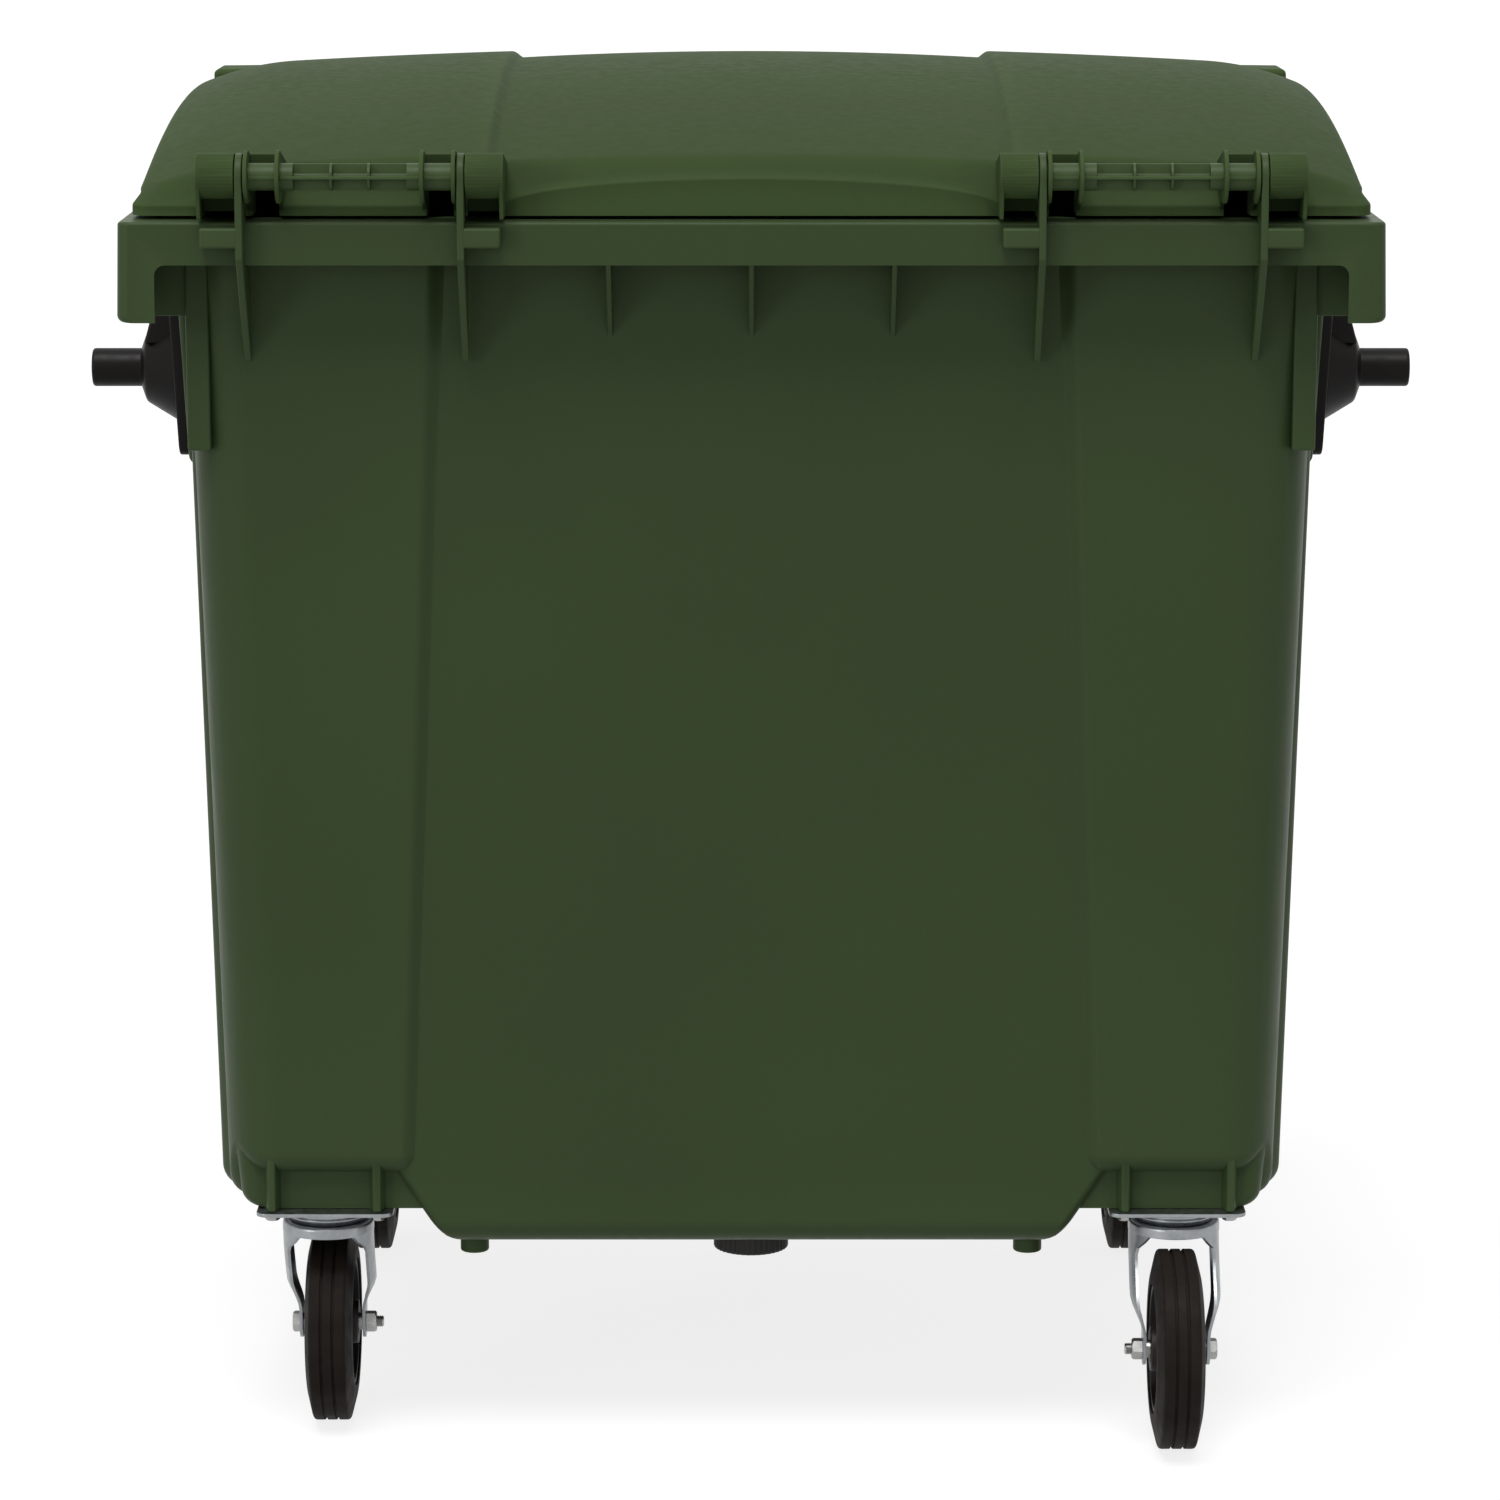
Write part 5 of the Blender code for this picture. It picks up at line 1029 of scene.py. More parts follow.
def outer_border(x, y, normal):
    """The path from the dome over its rounded edge down to the lip's lower edge."""
    start = Vector((x, y, lid_surface(x, y)))
    edge_x = x + normal.x * DOME_EDGE
    edge_y = y + normal.y * DOME_EDGE
    edge = Vector((edge_x, edge_y, lid_surface(edge_x, edge_y)))
    foot_rear = lerp(DOME_REAR, LIP_REAR, 0.5)
    ledge_z = ledge_height(edge_x, edge_y)
    foot = stretched(edge_x, edge_y, FOOT_HALF_WIDTH, foot_rear, DOME_FRONT + LID_WALL, ledge_z)
    lip = stretched(edge_x, edge_y, LIP_HALF_WIDTH, LIP_REAR, LIP_FRONT, lip_height(edge_x, edge_y))
    low = Vector((lip.x, lip.y, LID_BOTTOM))
    reach = min(DOME_EDGE, (edge - foot).length * ROUNDING_SHARE)
    ledge = min(LEDGE_ROUND, (foot - lip).length * ROUNDING_SHARE)
    return rounded_path([start, edge, foot, lip, low], (reach, ledge, min(LIP_ROUND, ledge)), 6)[1:]


def lid_shell():
    """The domed shell with its stepped edge, as one closed thin wall."""
    columns, rows, corner, half_x, rear, front = lid_grid(DOME_EDGE)
    wide = len(columns)
    points = []
    normals = []
    for y in rows:
        for x in columns:
            bent_x, bent_y, normal = corner_bend(x, y, corner, half_x, rear, front)
            points.append(Vector((bent_x, bent_y, lid_surface(bent_x, bent_y))))
            normals.append(normal)
    count = len(points)
    points += [point - Vector((0.0, 0.0, LID_WALL)) for point in points]
    faces = []
    for j in range(len(rows) - 1):
        for i in range(wide - 1):
            a = j * wide + i
            face = [a, a + 1, a + wide + 1, a + wide]
            faces.append(face)
            faces.append([index + count for index in face[::-1]])
    border = list(range(wide))
    border += [j * wide + wide - 1 for j in range(1, len(rows))]
    border += [(len(rows) - 1) * wide + i for i in range(wide - 2, -1, -1)]
    border += [j * wide for j in range(len(rows) - 2, 0, -1)]
    outer = [outer_border(points[i].x, points[i].y, normals[i]) for i in border]
    inner_width = LIP_HALF_WIDTH - LIP_WIDTH
    rings = [border]
    for level in range(len(outer[0])):
        rings.append(list(range(len(points), len(points) + len(border))))
        points += [path[level] for path in outer]
    inner_rings = [[i + count for i in border]]
    edges = []
    lows = []
    reach = DOME_EDGE - LID_WALL
    for i in border:
        x = points[i].x + normals[i].x * reach
        y = points[i].y + normals[i].y * reach
        edges.append(Vector((x, y, lid_surface(x, y) - 2 * LID_WALL)))
        lows.append(stretched(x, y, inner_width, DOME_REAR - LID_WALL, DOME_FRONT - LID_WALL, LID_BOTTOM))
    for ring in (edges, lows):
        inner_rings.append(list(range(len(points), len(points) + len(border))))
        points += ring
    all_pairs = list(zip(rings, rings[1:])) + list(zip(inner_rings, inner_rings[1:]))
    all_pairs.append((rings[-1], inner_rings[-1]))
    for first, second in all_pairs:
        for i in range(len(border)):
            j = (i + 1) % len(border)
            faces.append([first[i], first[j], second[j], second[i]])
    return make_object("lid", points, faces)


def hinge_outline(points):
    """Turn points written from the hinge axis, forwards and up, into the lid's side view."""
    return [(HINGE_Y + y, HINGE_Z + z) for y, z in points]


def shelf_corner():
    """Where the hinge arms meet the top of the lid's rear edge, from the hinge axis."""
    y = -DOME_REAR + LID_WALL - HINGE_Y
    z = lid_surface(HINGE_CENTRE, -DOME_REAR) - HINGE_Z - SINK / 2
    return y, z


def cap_outline():
    """A hook over the rod: closed in front, on top and behind, open below."""
    mouth = 180 + math.degrees(math.asin(CAP_MOUTH_DROP / CAP_RADIUS))
    top_y, top_z = shelf_corner()
    low_z = LID_BOTTOM - HINGE_Z + LID_LIP / 2
    outline = arc((0.0, 0.0), CAP_RADIUS, mouth, 90, 20)
    outline += [(top_y, top_z), (top_y - SINK, low_z), (CAP_RADIUS, low_z)]
    outline += arc((0.0, 0.0), CAP_RADIUS - CAP_WALL, CAP_INSIDE_START, mouth, 24)
    return hinge_outline(outline)


def cap_end_outline():
    mouth = math.degrees(math.asin(CAP_MOUTH_DROP / CAP_RADIUS))
    return hinge_outline(arc((0.0, 0.0), CAP_RADIUS, -mouth, 180 + mouth, 32))


def cap_cheek_outline():
    """The far end of a cap, which reaches down to the foot of the lid."""
    top_y, top_z = shelf_corner()
    low_z = LID_BOTTOM - HINGE_Z
    outline = arc((0.0, 0.0), CAP_RADIUS, 90, CAP_CHEEK_END, 16)
    outline += [(-CAP_CHEEK_FOOT, low_z), (top_y - SINK, low_z), (top_y, top_z)]
    return hinge_outline(outline)


def box_plate_outline():
    """A plate round the rod with an arm to the lid's rear edge."""
    top_y, top_z = shelf_corner()
    low_z = LID_BOTTOM - HINGE_Z
    outline = arc((0.0, 0.0), BOX_PLATE_RADIUS, BOX_PLATE_START, BOX_PLATE_END, 28)
    outline += [(BOX_ARM_AHEAD, low_z), (top_y - SINK, low_z), (top_y, top_z)]
    return hinge_outline(outline)


def lid_knuckles():
    """End caps and plate boxes on each hinge, and the spaces that are cut for the rods."""
    solids = []
    spaces = []
    for x, outward in lug_places():
        start = x + outward * (LUG_THICKNESS / 2 + RUNNING_GAP)
        end = start + outward * CAP_LENGTH
        near = x - outward * (LUG_THICKNESS / 2 + RUNNING_GAP)
        far = near - outward * BOX_WIDTH
        plates = [
            ("cap", cap_outline(), start, end, THIN_EDGE),
            ("cap_end", cap_end_outline(), start, start + outward * CAP_WALL, SMALL_EDGE),
            ("cap_cheek", cap_cheek_outline(), end - outward * CAP_WALL, end, FIRM_EDGE),
            ("box_plate", box_plate_outline(), near, near - outward * BOX_PLATE_THICKNESS, SMALL_EDGE),
            ("box_plate", box_plate_outline(), far, far + outward * BOX_PLATE_THICKNESS, SMALL_EDGE),
        ]
        for name, outline, first, second, edge in plates:
            solids.append(bevelled(prism(name, outline, "X", first, second), edge, 2))
        wall_low = (near, HINGE_Y + BOX_WALL_AHEAD, HINGE_Z - ROD_RADIUS)
        wall_high = (far, HINGE_Y + BOX_WALL_AHEAD + BOX_PLATE_THICKNESS, HINGE_Z + BOX_WALL_RISE)
        solids.append(bevelled(box("box_wall", wall_low, wall_high), SMALL_EDGE, 2))
        reach = sorted((far - outward * SINK, start + outward * (CAP_WALL + SINK)))
        place = (0.0, HINGE_Y, HINGE_Z)
        spaces.append(cylinder("rod_bore", ROD_RADIUS + CLEARANCE, "X", *reach, BORE_SIDES, place))
    return solids, spaces


def knuckle_mouths():
    """The openings through the lid's rear edge inside each box and under each cap."""
    rear = -LIP_REAR - OVERRUN
    front = -DOME_REAR + LID_WALL + 2 * OVERRUN
    low = LID_BOTTOM - OVERRUN
    mouths = []
    for x, outward in lug_places():
        near = x - outward * (LUG_THICKNESS / 2 + RUNNING_GAP + BOX_PLATE_THICKNESS)
        far = near - outward * (BOX_WIDTH - 2 * BOX_PLATE_THICKNESS)
        start = x + outward * (LUG_THICKNESS / 2 + RUNNING_GAP)
        end = start + outward * (CAP_LENGTH - CAP_WALL)
        mouths.append(box("mouth", (near, rear, low), (far, front, HINGE_Z - ROD_RADIUS / 2)))
        mouths.append(box("mouth", (start, rear, low), (end, front, HINGE_Z - CAP_MOUTH_DROP)))
    return mouths


def rest_pads():
    """Small pads under the lip that carry the closed lid on the rim."""
    pads = []
    for x_side, y_side in CORNERS:
        x = x_side * (LIP_HALF_WIDTH - LIP_WIDTH / 2)
        y = y_side * PAD_SPACING / 2
        low = (x - PAD_WIDTH / 2, y - PAD_LENGTH / 2, RIM_TOP + CLEARANCE)
        high = (x + PAD_WIDTH / 2, y + PAD_LENGTH / 2, LID_BOTTOM + LID_LIP / 2)
        pads.append(bevelled(box("rest_pad", low, high), THIN_EDGE, 2))
    return pads


def grip_hood(side):
    """A raised hood at a front corner, open to the front for the fingers."""
    outer = RIM_HALF_WIDTH
    inner = outer - GRIP_LENGTH
    top_inner = GRIP_TOP_INNER
    top_outer = top_inner - GRIP_OUTER_DROP
    low = top_outer - GRIP_SKIRT
    outline = [(inner, low), (outer, low), (outer, top_outer), (inner, top_inner)]
    hood = prism("grip", [(side * x, z) for x, z in outline], "Y", LIP_FRONT - GRIP_DEPTH, LIP_FRONT)
    bevelled(hood, GRIP_EDGE, 5)
    pocket = [
        (inner + GRIP_WALL, low - OVERRUN),
        (outer - GRIP_WALL, low - OVERRUN),
        (outer - GRIP_WALL, top_outer - GRIP_WALL),
        (inner + GRIP_WALL, top_inner - GRIP_WALL),
    ]
    start = LIP_FRONT - GRIP_DEPTH + GRIP_WALL
    hollow = prism("pocket", [(side * x, z) for x, z in pocket], "Y", start, LIP_FRONT + OVERRUN)
    return cut(hood, [bevelled(hollow, WIDE_EDGE)])


def lid():
    shell = cut(lid_shell(), knuckle_mouths())
    knuckles, spaces = lid_knuckles()
    union(shell, knuckles + rest_pads() + [grip_hood(side) for side in SIDES])
    cut(shell, spaces)
    dress(shell, "domed_lid", "lid_plastic", "lid", ["lid"])


# Hinge rods, trunnions and drain plug

def hinge_rod(word, side):
    """A rod with round journals and a cross-shaped middle stiffened by discs."""
    reach = LUG_HALF_SPACING + LUG_THICKNESS / 2 + RUNNING_GAP + CAP_LENGTH - CAP_WALL - CAP_END_GAP
    lattice = ROD_LATTICE_HALF_LENGTH
    profile = [(0, -reach), (ROD_RADIUS - SINK, -reach), (ROD_RADIUS, -reach + SINK)]
    profile += [(ROD_RADIUS, -lattice), (ROD_CORE_RADIUS, -lattice)]
    for index in range(1, ROD_BAYS):
        middle = lerp(-lattice, lattice, index / ROD_BAYS)
        low = middle - ROD_DISC_THICKNESS / 2
        high = middle + ROD_DISC_THICKNESS / 2
        profile += [(ROD_CORE_RADIUS, low), (ROD_RADIUS, low), (ROD_RADIUS, high), (ROD_CORE_RADIUS, high)]
    profile += [(ROD_CORE_RADIUS, lattice), (ROD_RADIUS, lattice)]
    profile += [(ROD_RADIUS, reach - SINK), (ROD_RADIUS - SINK, reach), (0, reach)]
    centre = side * HINGE_CENTRE
    rod = revolve("rod", profile, "X", BORE_SIDES, (centre, HINGE_Y, HINGE_Z))
    pieces = [bevelled(rod, FINE_EDGE, 2, STEEP_EDGE_ANGLE)]
    tall = ROD_RADIUS - SINK / 4
    thin = ROD_FIN_THICKNESS / 2
    proud = ROD_RADIUS + ROD_FIN_PROUD
    box_near = LUG_HALF_SPACING - LUG_THICKNESS / 2 - RUNNING_GAP
    inner = box_near - BOX_WIDTH - CLEARANCE
    outer_low = box_near - BOX_WIDTH + BOX_PLATE_THICKNESS + CLEARANCE
    outer_high = box_near - BOX_PLATE_THICKNESS - CLEARANCE
    fins = [
        (-inner, inner, proud, thin),
        (outer_low, outer_high, proud, thin),
        (-outer_high, -outer_low, proud, thin),
        (-lattice - SINK, lattice + SINK, thin, tall),
    ]
    for start, end, deep, high in fins:
        first = (centre + start, HINGE_Y - deep, HINGE_Z - high)
        second = (centre + end, HINGE_Y + deep, HINGE_Z + high)
        pieces.append(bevelled(box("fin", first, second), FIN_EDGE, 2))
    dress(joined("rod", pieces), "rod_" + word, "rod_plastic", "container", ["hinge_rod_" + word])


def trunnion(word, side):
    """A base plate on the sloped pad, with a stepped boss and a pin for the lifting arms."""
    middle = TRUNNION_Z + (TRUNNION_PLATE_UP - TRUNNION_PLATE_DOWN) / 2
    half_height = (TRUNNION_PLATE_UP + TRUNNION_PLATE_DOWN) / 2
    outline = rounded_rectangle(TRUNNION_PLATE_HALF_DEPTH, half_height, TRUNNION_PLATE_CORNER, 8)
    rings = []
    for height in (CLEARANCE, CLEARANCE + TRUNNION_PLATE_THICKNESS):
        rings.append([Vector((side * (pad_face(middle + z) + height), y, middle + z)) for y, z in outline])
    plate = bevelled(loft("plate", rings), BLUNT_EDGE)
    base = pad_face(TRUNNION_Z) + CLEARANCE + TRUNNION_PLATE_THICKNESS / 2
    face = base + TRUNNION_PLATE_THICKNESS / 2
    collar = face + TRUNNION_BOSS_LENGTH
    neck = collar + TRUNNION_COLLAR_LENGTH
    tip = neck + TRUNNION_PIN_LENGTH
    profile = [
        (0, base),
        (TRUNNION_BOSS_RADIUS, base),
        (TRUNNION_BOSS_RADIUS, face + SINK),
        (TRUNNION_COLLAR_RADIUS, collar),
        (TRUNNION_NECK_RADIUS, neck),
        (TRUNNION_PIN_RADIUS, neck),
        (TRUNNION_PIN_RADIUS, tip),
        (0, tip),
    ]
    profile = [(radius, side * x) for radius, x in rounded_profile(profile, TRUNNION_ROUNDING, 4)]
    boss = revolve("boss", profile, "X", BOSS_SIDES, (0.0, 0.0, TRUNNION_Z))
    crest = TRUNNION_Z + TRUNNION_PLATE_UP - SINK
    foot = TRUNNION_Z + TRUNNION_COLLAR_RADIUS - TRUNNION_FIN_OVERLAP
    outline = [
        (side * pad_face(foot), foot),
        (side * collar, foot),
        (side * (collar - TRUNNION_FIN_LEAN), crest),
        (side * (pad_face(crest) + TRUNNION_PLATE_THICKNESS / 2), crest),
    ]
    fin = prism("fin", outline, "Y", -TRUNNION_FIN_HALF_DEPTH, TRUNNION_FIN_HALF_DEPTH)
    union(plate, [boss, bevelled(fin, WIDE_EDGE)])
    dress(plate, "trunnion_pin_" + word, "trunnion_black", "container", ["trunnion_" + word])


def drain_plug():
    """A fluted cap with a neck that passes through the hopper's floor."""
    top = -2 * CLEARANCE - DRAIN_SEAL_THICKNESS
    profile = [
        (0, top - DRAIN_CAP_HEIGHT),
        (DRAIN_CAP_RADIUS, top - DRAIN_CAP_HEIGHT),
        (DRAIN_CAP_RADIUS, top),
        (DRAIN_NECK_RADIUS, top),
        (DRAIN_NECK_RADIUS, TUB_WALL + DRAIN_NECK_RISE),
        (0, TUB_WALL + DRAIN_NECK_RISE),
    ]
    profile = rounded_profile(profile, DRAIN_ROUNDING, 4)
    plug = revolve("plug", profile, "Z", 4 * DRAIN_FLUTES, DRAIN_PLACE)
    centre = Vector(DRAIN_PLACE)
    for vertex in plug.data.vertices:
        offset = vertex.co - centre
        radius = offset.xy.length
        if radius > DRAIN_CAP_RADIUS - SINK:
            turn = math.atan2(offset.y, offset.x)
            depth = DRAIN_FLUTE_DEPTH * (0.5 + 0.5 * math.cos(turn * DRAIN_FLUTES))
            offset.xy *= (radius - depth) / radius
            vertex.co = centre + offset
    dress(plug, "drain_cap", "plug_plastic", "drain_plug", ["drain_plug"], FLUTE_SHADING_ANGLE)


def drain_seal():
    inner = DRAIN_NECK_RADIUS + CLEARANCE
    outer = DRAIN_CAP_RADIUS - DRAIN_CAP_CHAMFER
    low = -CLEARANCE - DRAIN_SEAL_THICKNESS
    profile = [(inner, low), (outer, low), (outer, -CLEARANCE), (inner, -CLEARANCE)]
    seal = bevelled(revolve("seal", profile, "Z", SEAL_SIDES, DRAIN_PLACE), FINE_EDGE, 2)
    dress(seal, "seal_ring", "seal_rubber", "container", ["drain_seal"])


# Casters, drawn with the swivel axis through the origin and the wheel trailing along +Y

def tyre_mesh():
    """A tyre with round shoulders and two grooves in its tread, about its own axle."""
    half = [
        (WHEEL_RIM_RADIUS + CLEARANCE, TYRE_WIDTH / 2),
        (WHEEL_RADIUS - SIDEWALL_DEPTH, TYRE_WIDTH / 2),
        (WHEEL_RADIUS - TREAD_SHOULDER, SHOULDER_WIDTH / 2),
        (WHEEL_RADIUS, TREAD_WIDTH / 2),
        (WHEEL_RADIUS, GROOVE_OFFSET + GROOVE_WIDTH / 2),
        (WHEEL_RADIUS - GROOVE_DEPTH, GROOVE_OFFSET + GROOVE_WIDTH / 2),
        (WHEEL_RADIUS - GROOVE_DEPTH, GROOVE_OFFSET - GROOVE_WIDTH / 2),
        (WHEEL_RADIUS, GROOVE_OFFSET - GROOVE_WIDTH / 2),
        (WHEEL_RADIUS, 0.0),
    ]
    half = rounded_profile(half, TYRE_ROUNDING, 4)
    profile = half + [(radius, -x) for radius, x in half[-2::-1]]
    return revolve("tyre", profile, "X", TYRE_SIDES)


def wheel_mesh():
    """A wheel with a hub, a web with round holes and a rim for the tyre."""
    hole = AXLE_RADIUS + CLEARANCE + SLEEVE_WALL + CLEARANCE
    half = [
        (hole, HUB_WIDTH / 2),
        (HUB_RADIUS, HUB_WIDTH / 2),
        (HUB_RADIUS + HUB_TAPER, WHEEL_WEB / 2),
        (WHEEL_RIM_RADIUS - WHEEL_RIM_THICKNESS, WHEEL_WEB / 2),
        (WHEEL_RIM_RADIUS - WHEEL_RIM_THICKNESS, WHEEL_RIM_WIDTH / 2),
        (WHEEL_RIM_RADIUS, WHEEL_RIM_WIDTH / 2),
    ]
    half = rounded_profile(half, WHEEL_ROUNDING, 4)
    profile = half + [(radius, -x) for radius, x in half[::-1]]
    wheel = revolve("wheel", profile, "X", WHEEL_SIDES)
    holes = []
    for index in range(LIGHTENING_COUNT):
        turn = 2 * math.pi * (index + 0.5) / LIGHTENING_COUNT
        place = (0.0, LIGHTENING_CIRCLE * math.cos(turn), LIGHTENING_CIRCLE * math.sin(turn))
        holes.append(cylinder("hole", LIGHTENING_RADIUS, "X", -WHEEL_WEB, WHEEL_WEB, SHANK_SIDES, place))
    return cut(wheel, holes)


def sleeve_mesh():
    half = FORK_INSIDE_WIDTH / 2 - CLEARANCE
    inner = AXLE_RADIUS + CLEARANCE
    outer = inner + SLEEVE_WALL
    profile = [(inner, half), (outer, half), (outer, -half), (inner, -half)]
    return bevelled(revolve("sleeve", profile, "X", PIN_SIDES), SLEEVE_EDGE, 1)


def hexagon(name, width, axis, start, end, chamfer, centre=(0.0, 0.0, 0.0)):
    """A hexagon head whose corners are turned off at its outer end."""
    radius = width / 2 / math.cos(math.pi / 6)
    head = cylinder(name, radius, axis, start, end, 6, centre)
    inward = chamfer if end > start else -chamfer
    wide = radius * HEXAGON_OVERSIZE
    shoulder = radius * HEXAGON_SHOULDER_SHARE
    profile = [(0, start), (wide, start), (wide, end - inward), (shoulder, end - inward)]
    profile += [(width / 2 * HEXAGON_FACE_SHARE, end), (0, end)]
    turned = revolve("turned", profile, axis, BORE_SIDES, centre)
    return combine(head, [turned], "INTERSECT")


def axle_bolt_mesh():
    face = FORK_INSIDE_WIDTH / 2 + FORK_SHEET + CLEARANCE
    end = face + AXLE_NUT_HEIGHT + AXLE_TIP
    head = hexagon("axle_bolt", AXLE_HEAD_WIDTH, "X", -face, -face - AXLE_HEAD_HEIGHT, HEXAGON_CHAMFER)
    profile = [(0, -face - SINK), (AXLE_RADIUS, -face - SINK), (AXLE_RADIUS, face)]
    for turn in range(int((end - face) / THREAD_PITCH)):
        x = face + turn * THREAD_PITCH
        profile += [(AXLE_RADIUS, x + THREAD_CREST), (AXLE_RADIUS - THREAD_DEPTH, x + THREAD_ROOT)]
    profile += [(AXLE_RADIUS - AXLE_TIP_CHAMFER, end), (0, end)]
    return union(head, [revolve("shank", profile, "X", SHANK_SIDES)])


def axle_nut_mesh():
    face = FORK_INSIDE_WIDTH / 2 + FORK_SHEET + CLEARANCE
    end = face + AXLE_NUT_HEIGHT
    radius = AXLE_RADIUS + CLEARANCE
    nut = hexagon("axle_nut", AXLE_HEAD_WIDTH, "X", face, end, HEXAGON_CHAMFER)
    return cut(nut, [cylinder("thread", radius, "X", face - OVERRUN, end + OVERRUN, SHANK_SIDES)])


def leg_ring(side, z, middle, half, flatness, crown, flat):
    """One level of a fork leg: a strip that is curved like the crown or flat like the axle end."""
    outer = []
    inner = []
    for step in range(-6, 7):
        offset = half * step / 6
        curved = math.sqrt(max(crown * crown - offset * offset, 0.0))
        x = lerp(curved, flat, flatness)
        outer.append(Vector((side * x, middle + offset, z)))
        inner.append(Vector((side * (x - FORK_SHEET), middle + offset, z)))
    return outer + inner[::-1]


def fork_leg(side):
    """A leg pressed out of the round crown: straight and round at first, then flat at the axle."""
    crown = CROWN_RADIUS - CLEARANCE
    flat = FORK_INSIDE_WIDTH / 2 + FORK_SHEET
    bend_end = WHEEL_RADIUS + LEG_FOOT_RADIUS
    levels = [(FORK_TOP - CROWN_TOP_THICKNESS / 2, 0.0)]
    levels += [(lerp(FORK_TOP - CROWN_SKIRT, bend_end, i / 14), i / 14) for i in range(15)]
    levels.append((WHEEL_RADIUS, 1.0))
    rings = []
    for z, share in levels:
        flatness = smooth((share - LEG_STRAIGHT_SHARE) / (1.0 - LEG_STRAIGHT_SHARE))
        half = lerp(LEG_TOP_HALF_WIDTH, LEG_HALF_WIDTH, smooth(share / LEG_NARROW_SHARE))
        half = lerp(half, LEG_FOOT_RADIUS, flatness)
        rings.append(leg_ring(side, z, TRAIL * smooth(share), half, flatness, crown, flat))
    for step in range(1, 9):
        angle = math.radians(LEG_FOOT_SWEEP * step / 8)
        z = WHEEL_RADIUS - LEG_FOOT_RADIUS * math.sin(angle)
        rings.append(leg_ring(side, z, TRAIL, LEG_FOOT_RADIUS * math.cos(angle), 1.0, crown, flat))
    return bevelled(loft("leg", rings), THIN_EDGE, 2, STEEP_EDGE_ANGLE)


def fork_mesh(braked):
    """The fork: a round pressed crown with two legs and, on a braked caster, two ears."""
    hole = KINGPIN_RADIUS + CLEARANCE
    profile = [
        (hole, FORK_TOP - CROWN_TOP_THICKNESS),
        (CROWN_RADIUS - FORK_SHEET, FORK_TOP - CROWN_TOP_THICKNESS),
        (CROWN_RADIUS - FORK_SHEET, FORK_TOP - CROWN_SKIRT),
        (CROWN_RADIUS, FORK_TOP - CROWN_SKIRT),
        (CROWN_RADIUS, FORK_TOP),
        (hole, FORK_TOP),
    ]
    fork = revolve("fork", rounded_profile(profile, CROWN_ROUNDING, 5), "Z", WHEEL_SIDES)
    additions = [fork_leg(side) for side in SIDES]
    cuts = []
    if braked:
        for side in SIDES:
            inner = side * FORK_INSIDE_WIDTH / 2
            low = (inner, TRAIL - EAR_BACK, FORK_TOP - FORK_HEADROOM)
            high = (inner + side * FORK_SHEET, TRAIL + EAR_FRONT, FORK_TOP - CLEARANCE)
            additions.append(bevelled(box("ear", low, high), THIN_EDGE, 2))
        radius = PEDAL_PIVOT_RADIUS + CLEARANCE
        cuts.append(cylinder("pivot", radius, "X", -CROWN_RADIUS, CROWN_RADIUS, SCREW_SIDES, PEDAL_PIVOT))
    union(fork, additions)
    reach = FORK_INSIDE_WIDTH / 2 + FORK_SHEET + OVERRUN
    cuts.append(cylinder("axle_hole", AXLE_RADIUS + CLEARANCE, "X", -reach, reach, SHANK_SIDES, AXLE))
    return cut(fork, cuts)


def bearing_mesh():
    """The covered double ball race between the plate and the fork."""
    low = BEARING_LOW
    top = BEARING_LOW + BEARING_HEIGHT
    middle = lerp(low, top, BEARING_GROOVE_SHARE)
    profile = [
        (BEARING_INNER_RADIUS, low),
        (BEARING_OUTER_RADIUS - BEARING_FOOT_INSET, low),
        (BEARING_OUTER_RADIUS - BEARING_SIDE_INSET, middle - BEARING_GROOVE_HALF_WIDTH),
        (BEARING_OUTER_RADIUS - BEARING_GROOVE_DEPTH, middle),
        (BEARING_OUTER_RADIUS, middle + BEARING_GROOVE_HALF_WIDTH),
        (BEARING_OUTER_RADIUS, top),
        (BEARING_INNER_RADIUS, top),
    ]
    return revolve("bearing", rounded_profile(profile, BEARING_ROUNDING, 4), "Z", BOSS_SIDES)


def plate_holes():
    half_x = PLATE_HOLE_SPACING_X / 2
    half_y = PLATE_HOLE_SPACING_Y / 2
    return [(x_side * half_x, y_side * half_y) for x_side, y_side in CORNERS]


def plate_mesh():
    """The caster's top plate, with its bolt holes and the kingpin that carries the fork."""
    outline = rounded_rectangle(PLATE_LENGTH / 2, PLATE_WIDTH / 2, PLATE_CORNER, 8)
    plate = bevelled(prism("plate", outline, "Z", PLATE_LOW, PLATE_LOW + PLATE_THICKNESS), THIN_EDGE, 2)
    head_top = FORK_TOP - CROWN_TOP_THICKNESS - CLEARANCE
    profile = [
        (0, PLATE_LOW + SINK),
        (KINGPIN_RADIUS, PLATE_LOW + SINK),
        (KINGPIN_RADIUS, head_top),
        (KINGPIN_HEAD_RADIUS, head_top),
        (KINGPIN_HEAD_RADIUS, head_top - KINGPIN_HEAD_HEIGHT),
        (0, head_top - KINGPIN_HEAD_HEIGHT),
    ]
    union(plate, [revolve("kingpin", profile, "Z", BORE_SIDES)])
    low = PLATE_LOW - OVERRUN
    top = PLATE_LOW + PLATE_THICKNESS + OVERRUN
    radius = PLATE_BOLT_RADIUS + CLEARANCE
    places = [(x, y, 0.0) for x, y in plate_holes()]
    return cut(plate, [cylinder("hole", radius, "Z", low, top, SCREW_SIDES, place) for place in places])


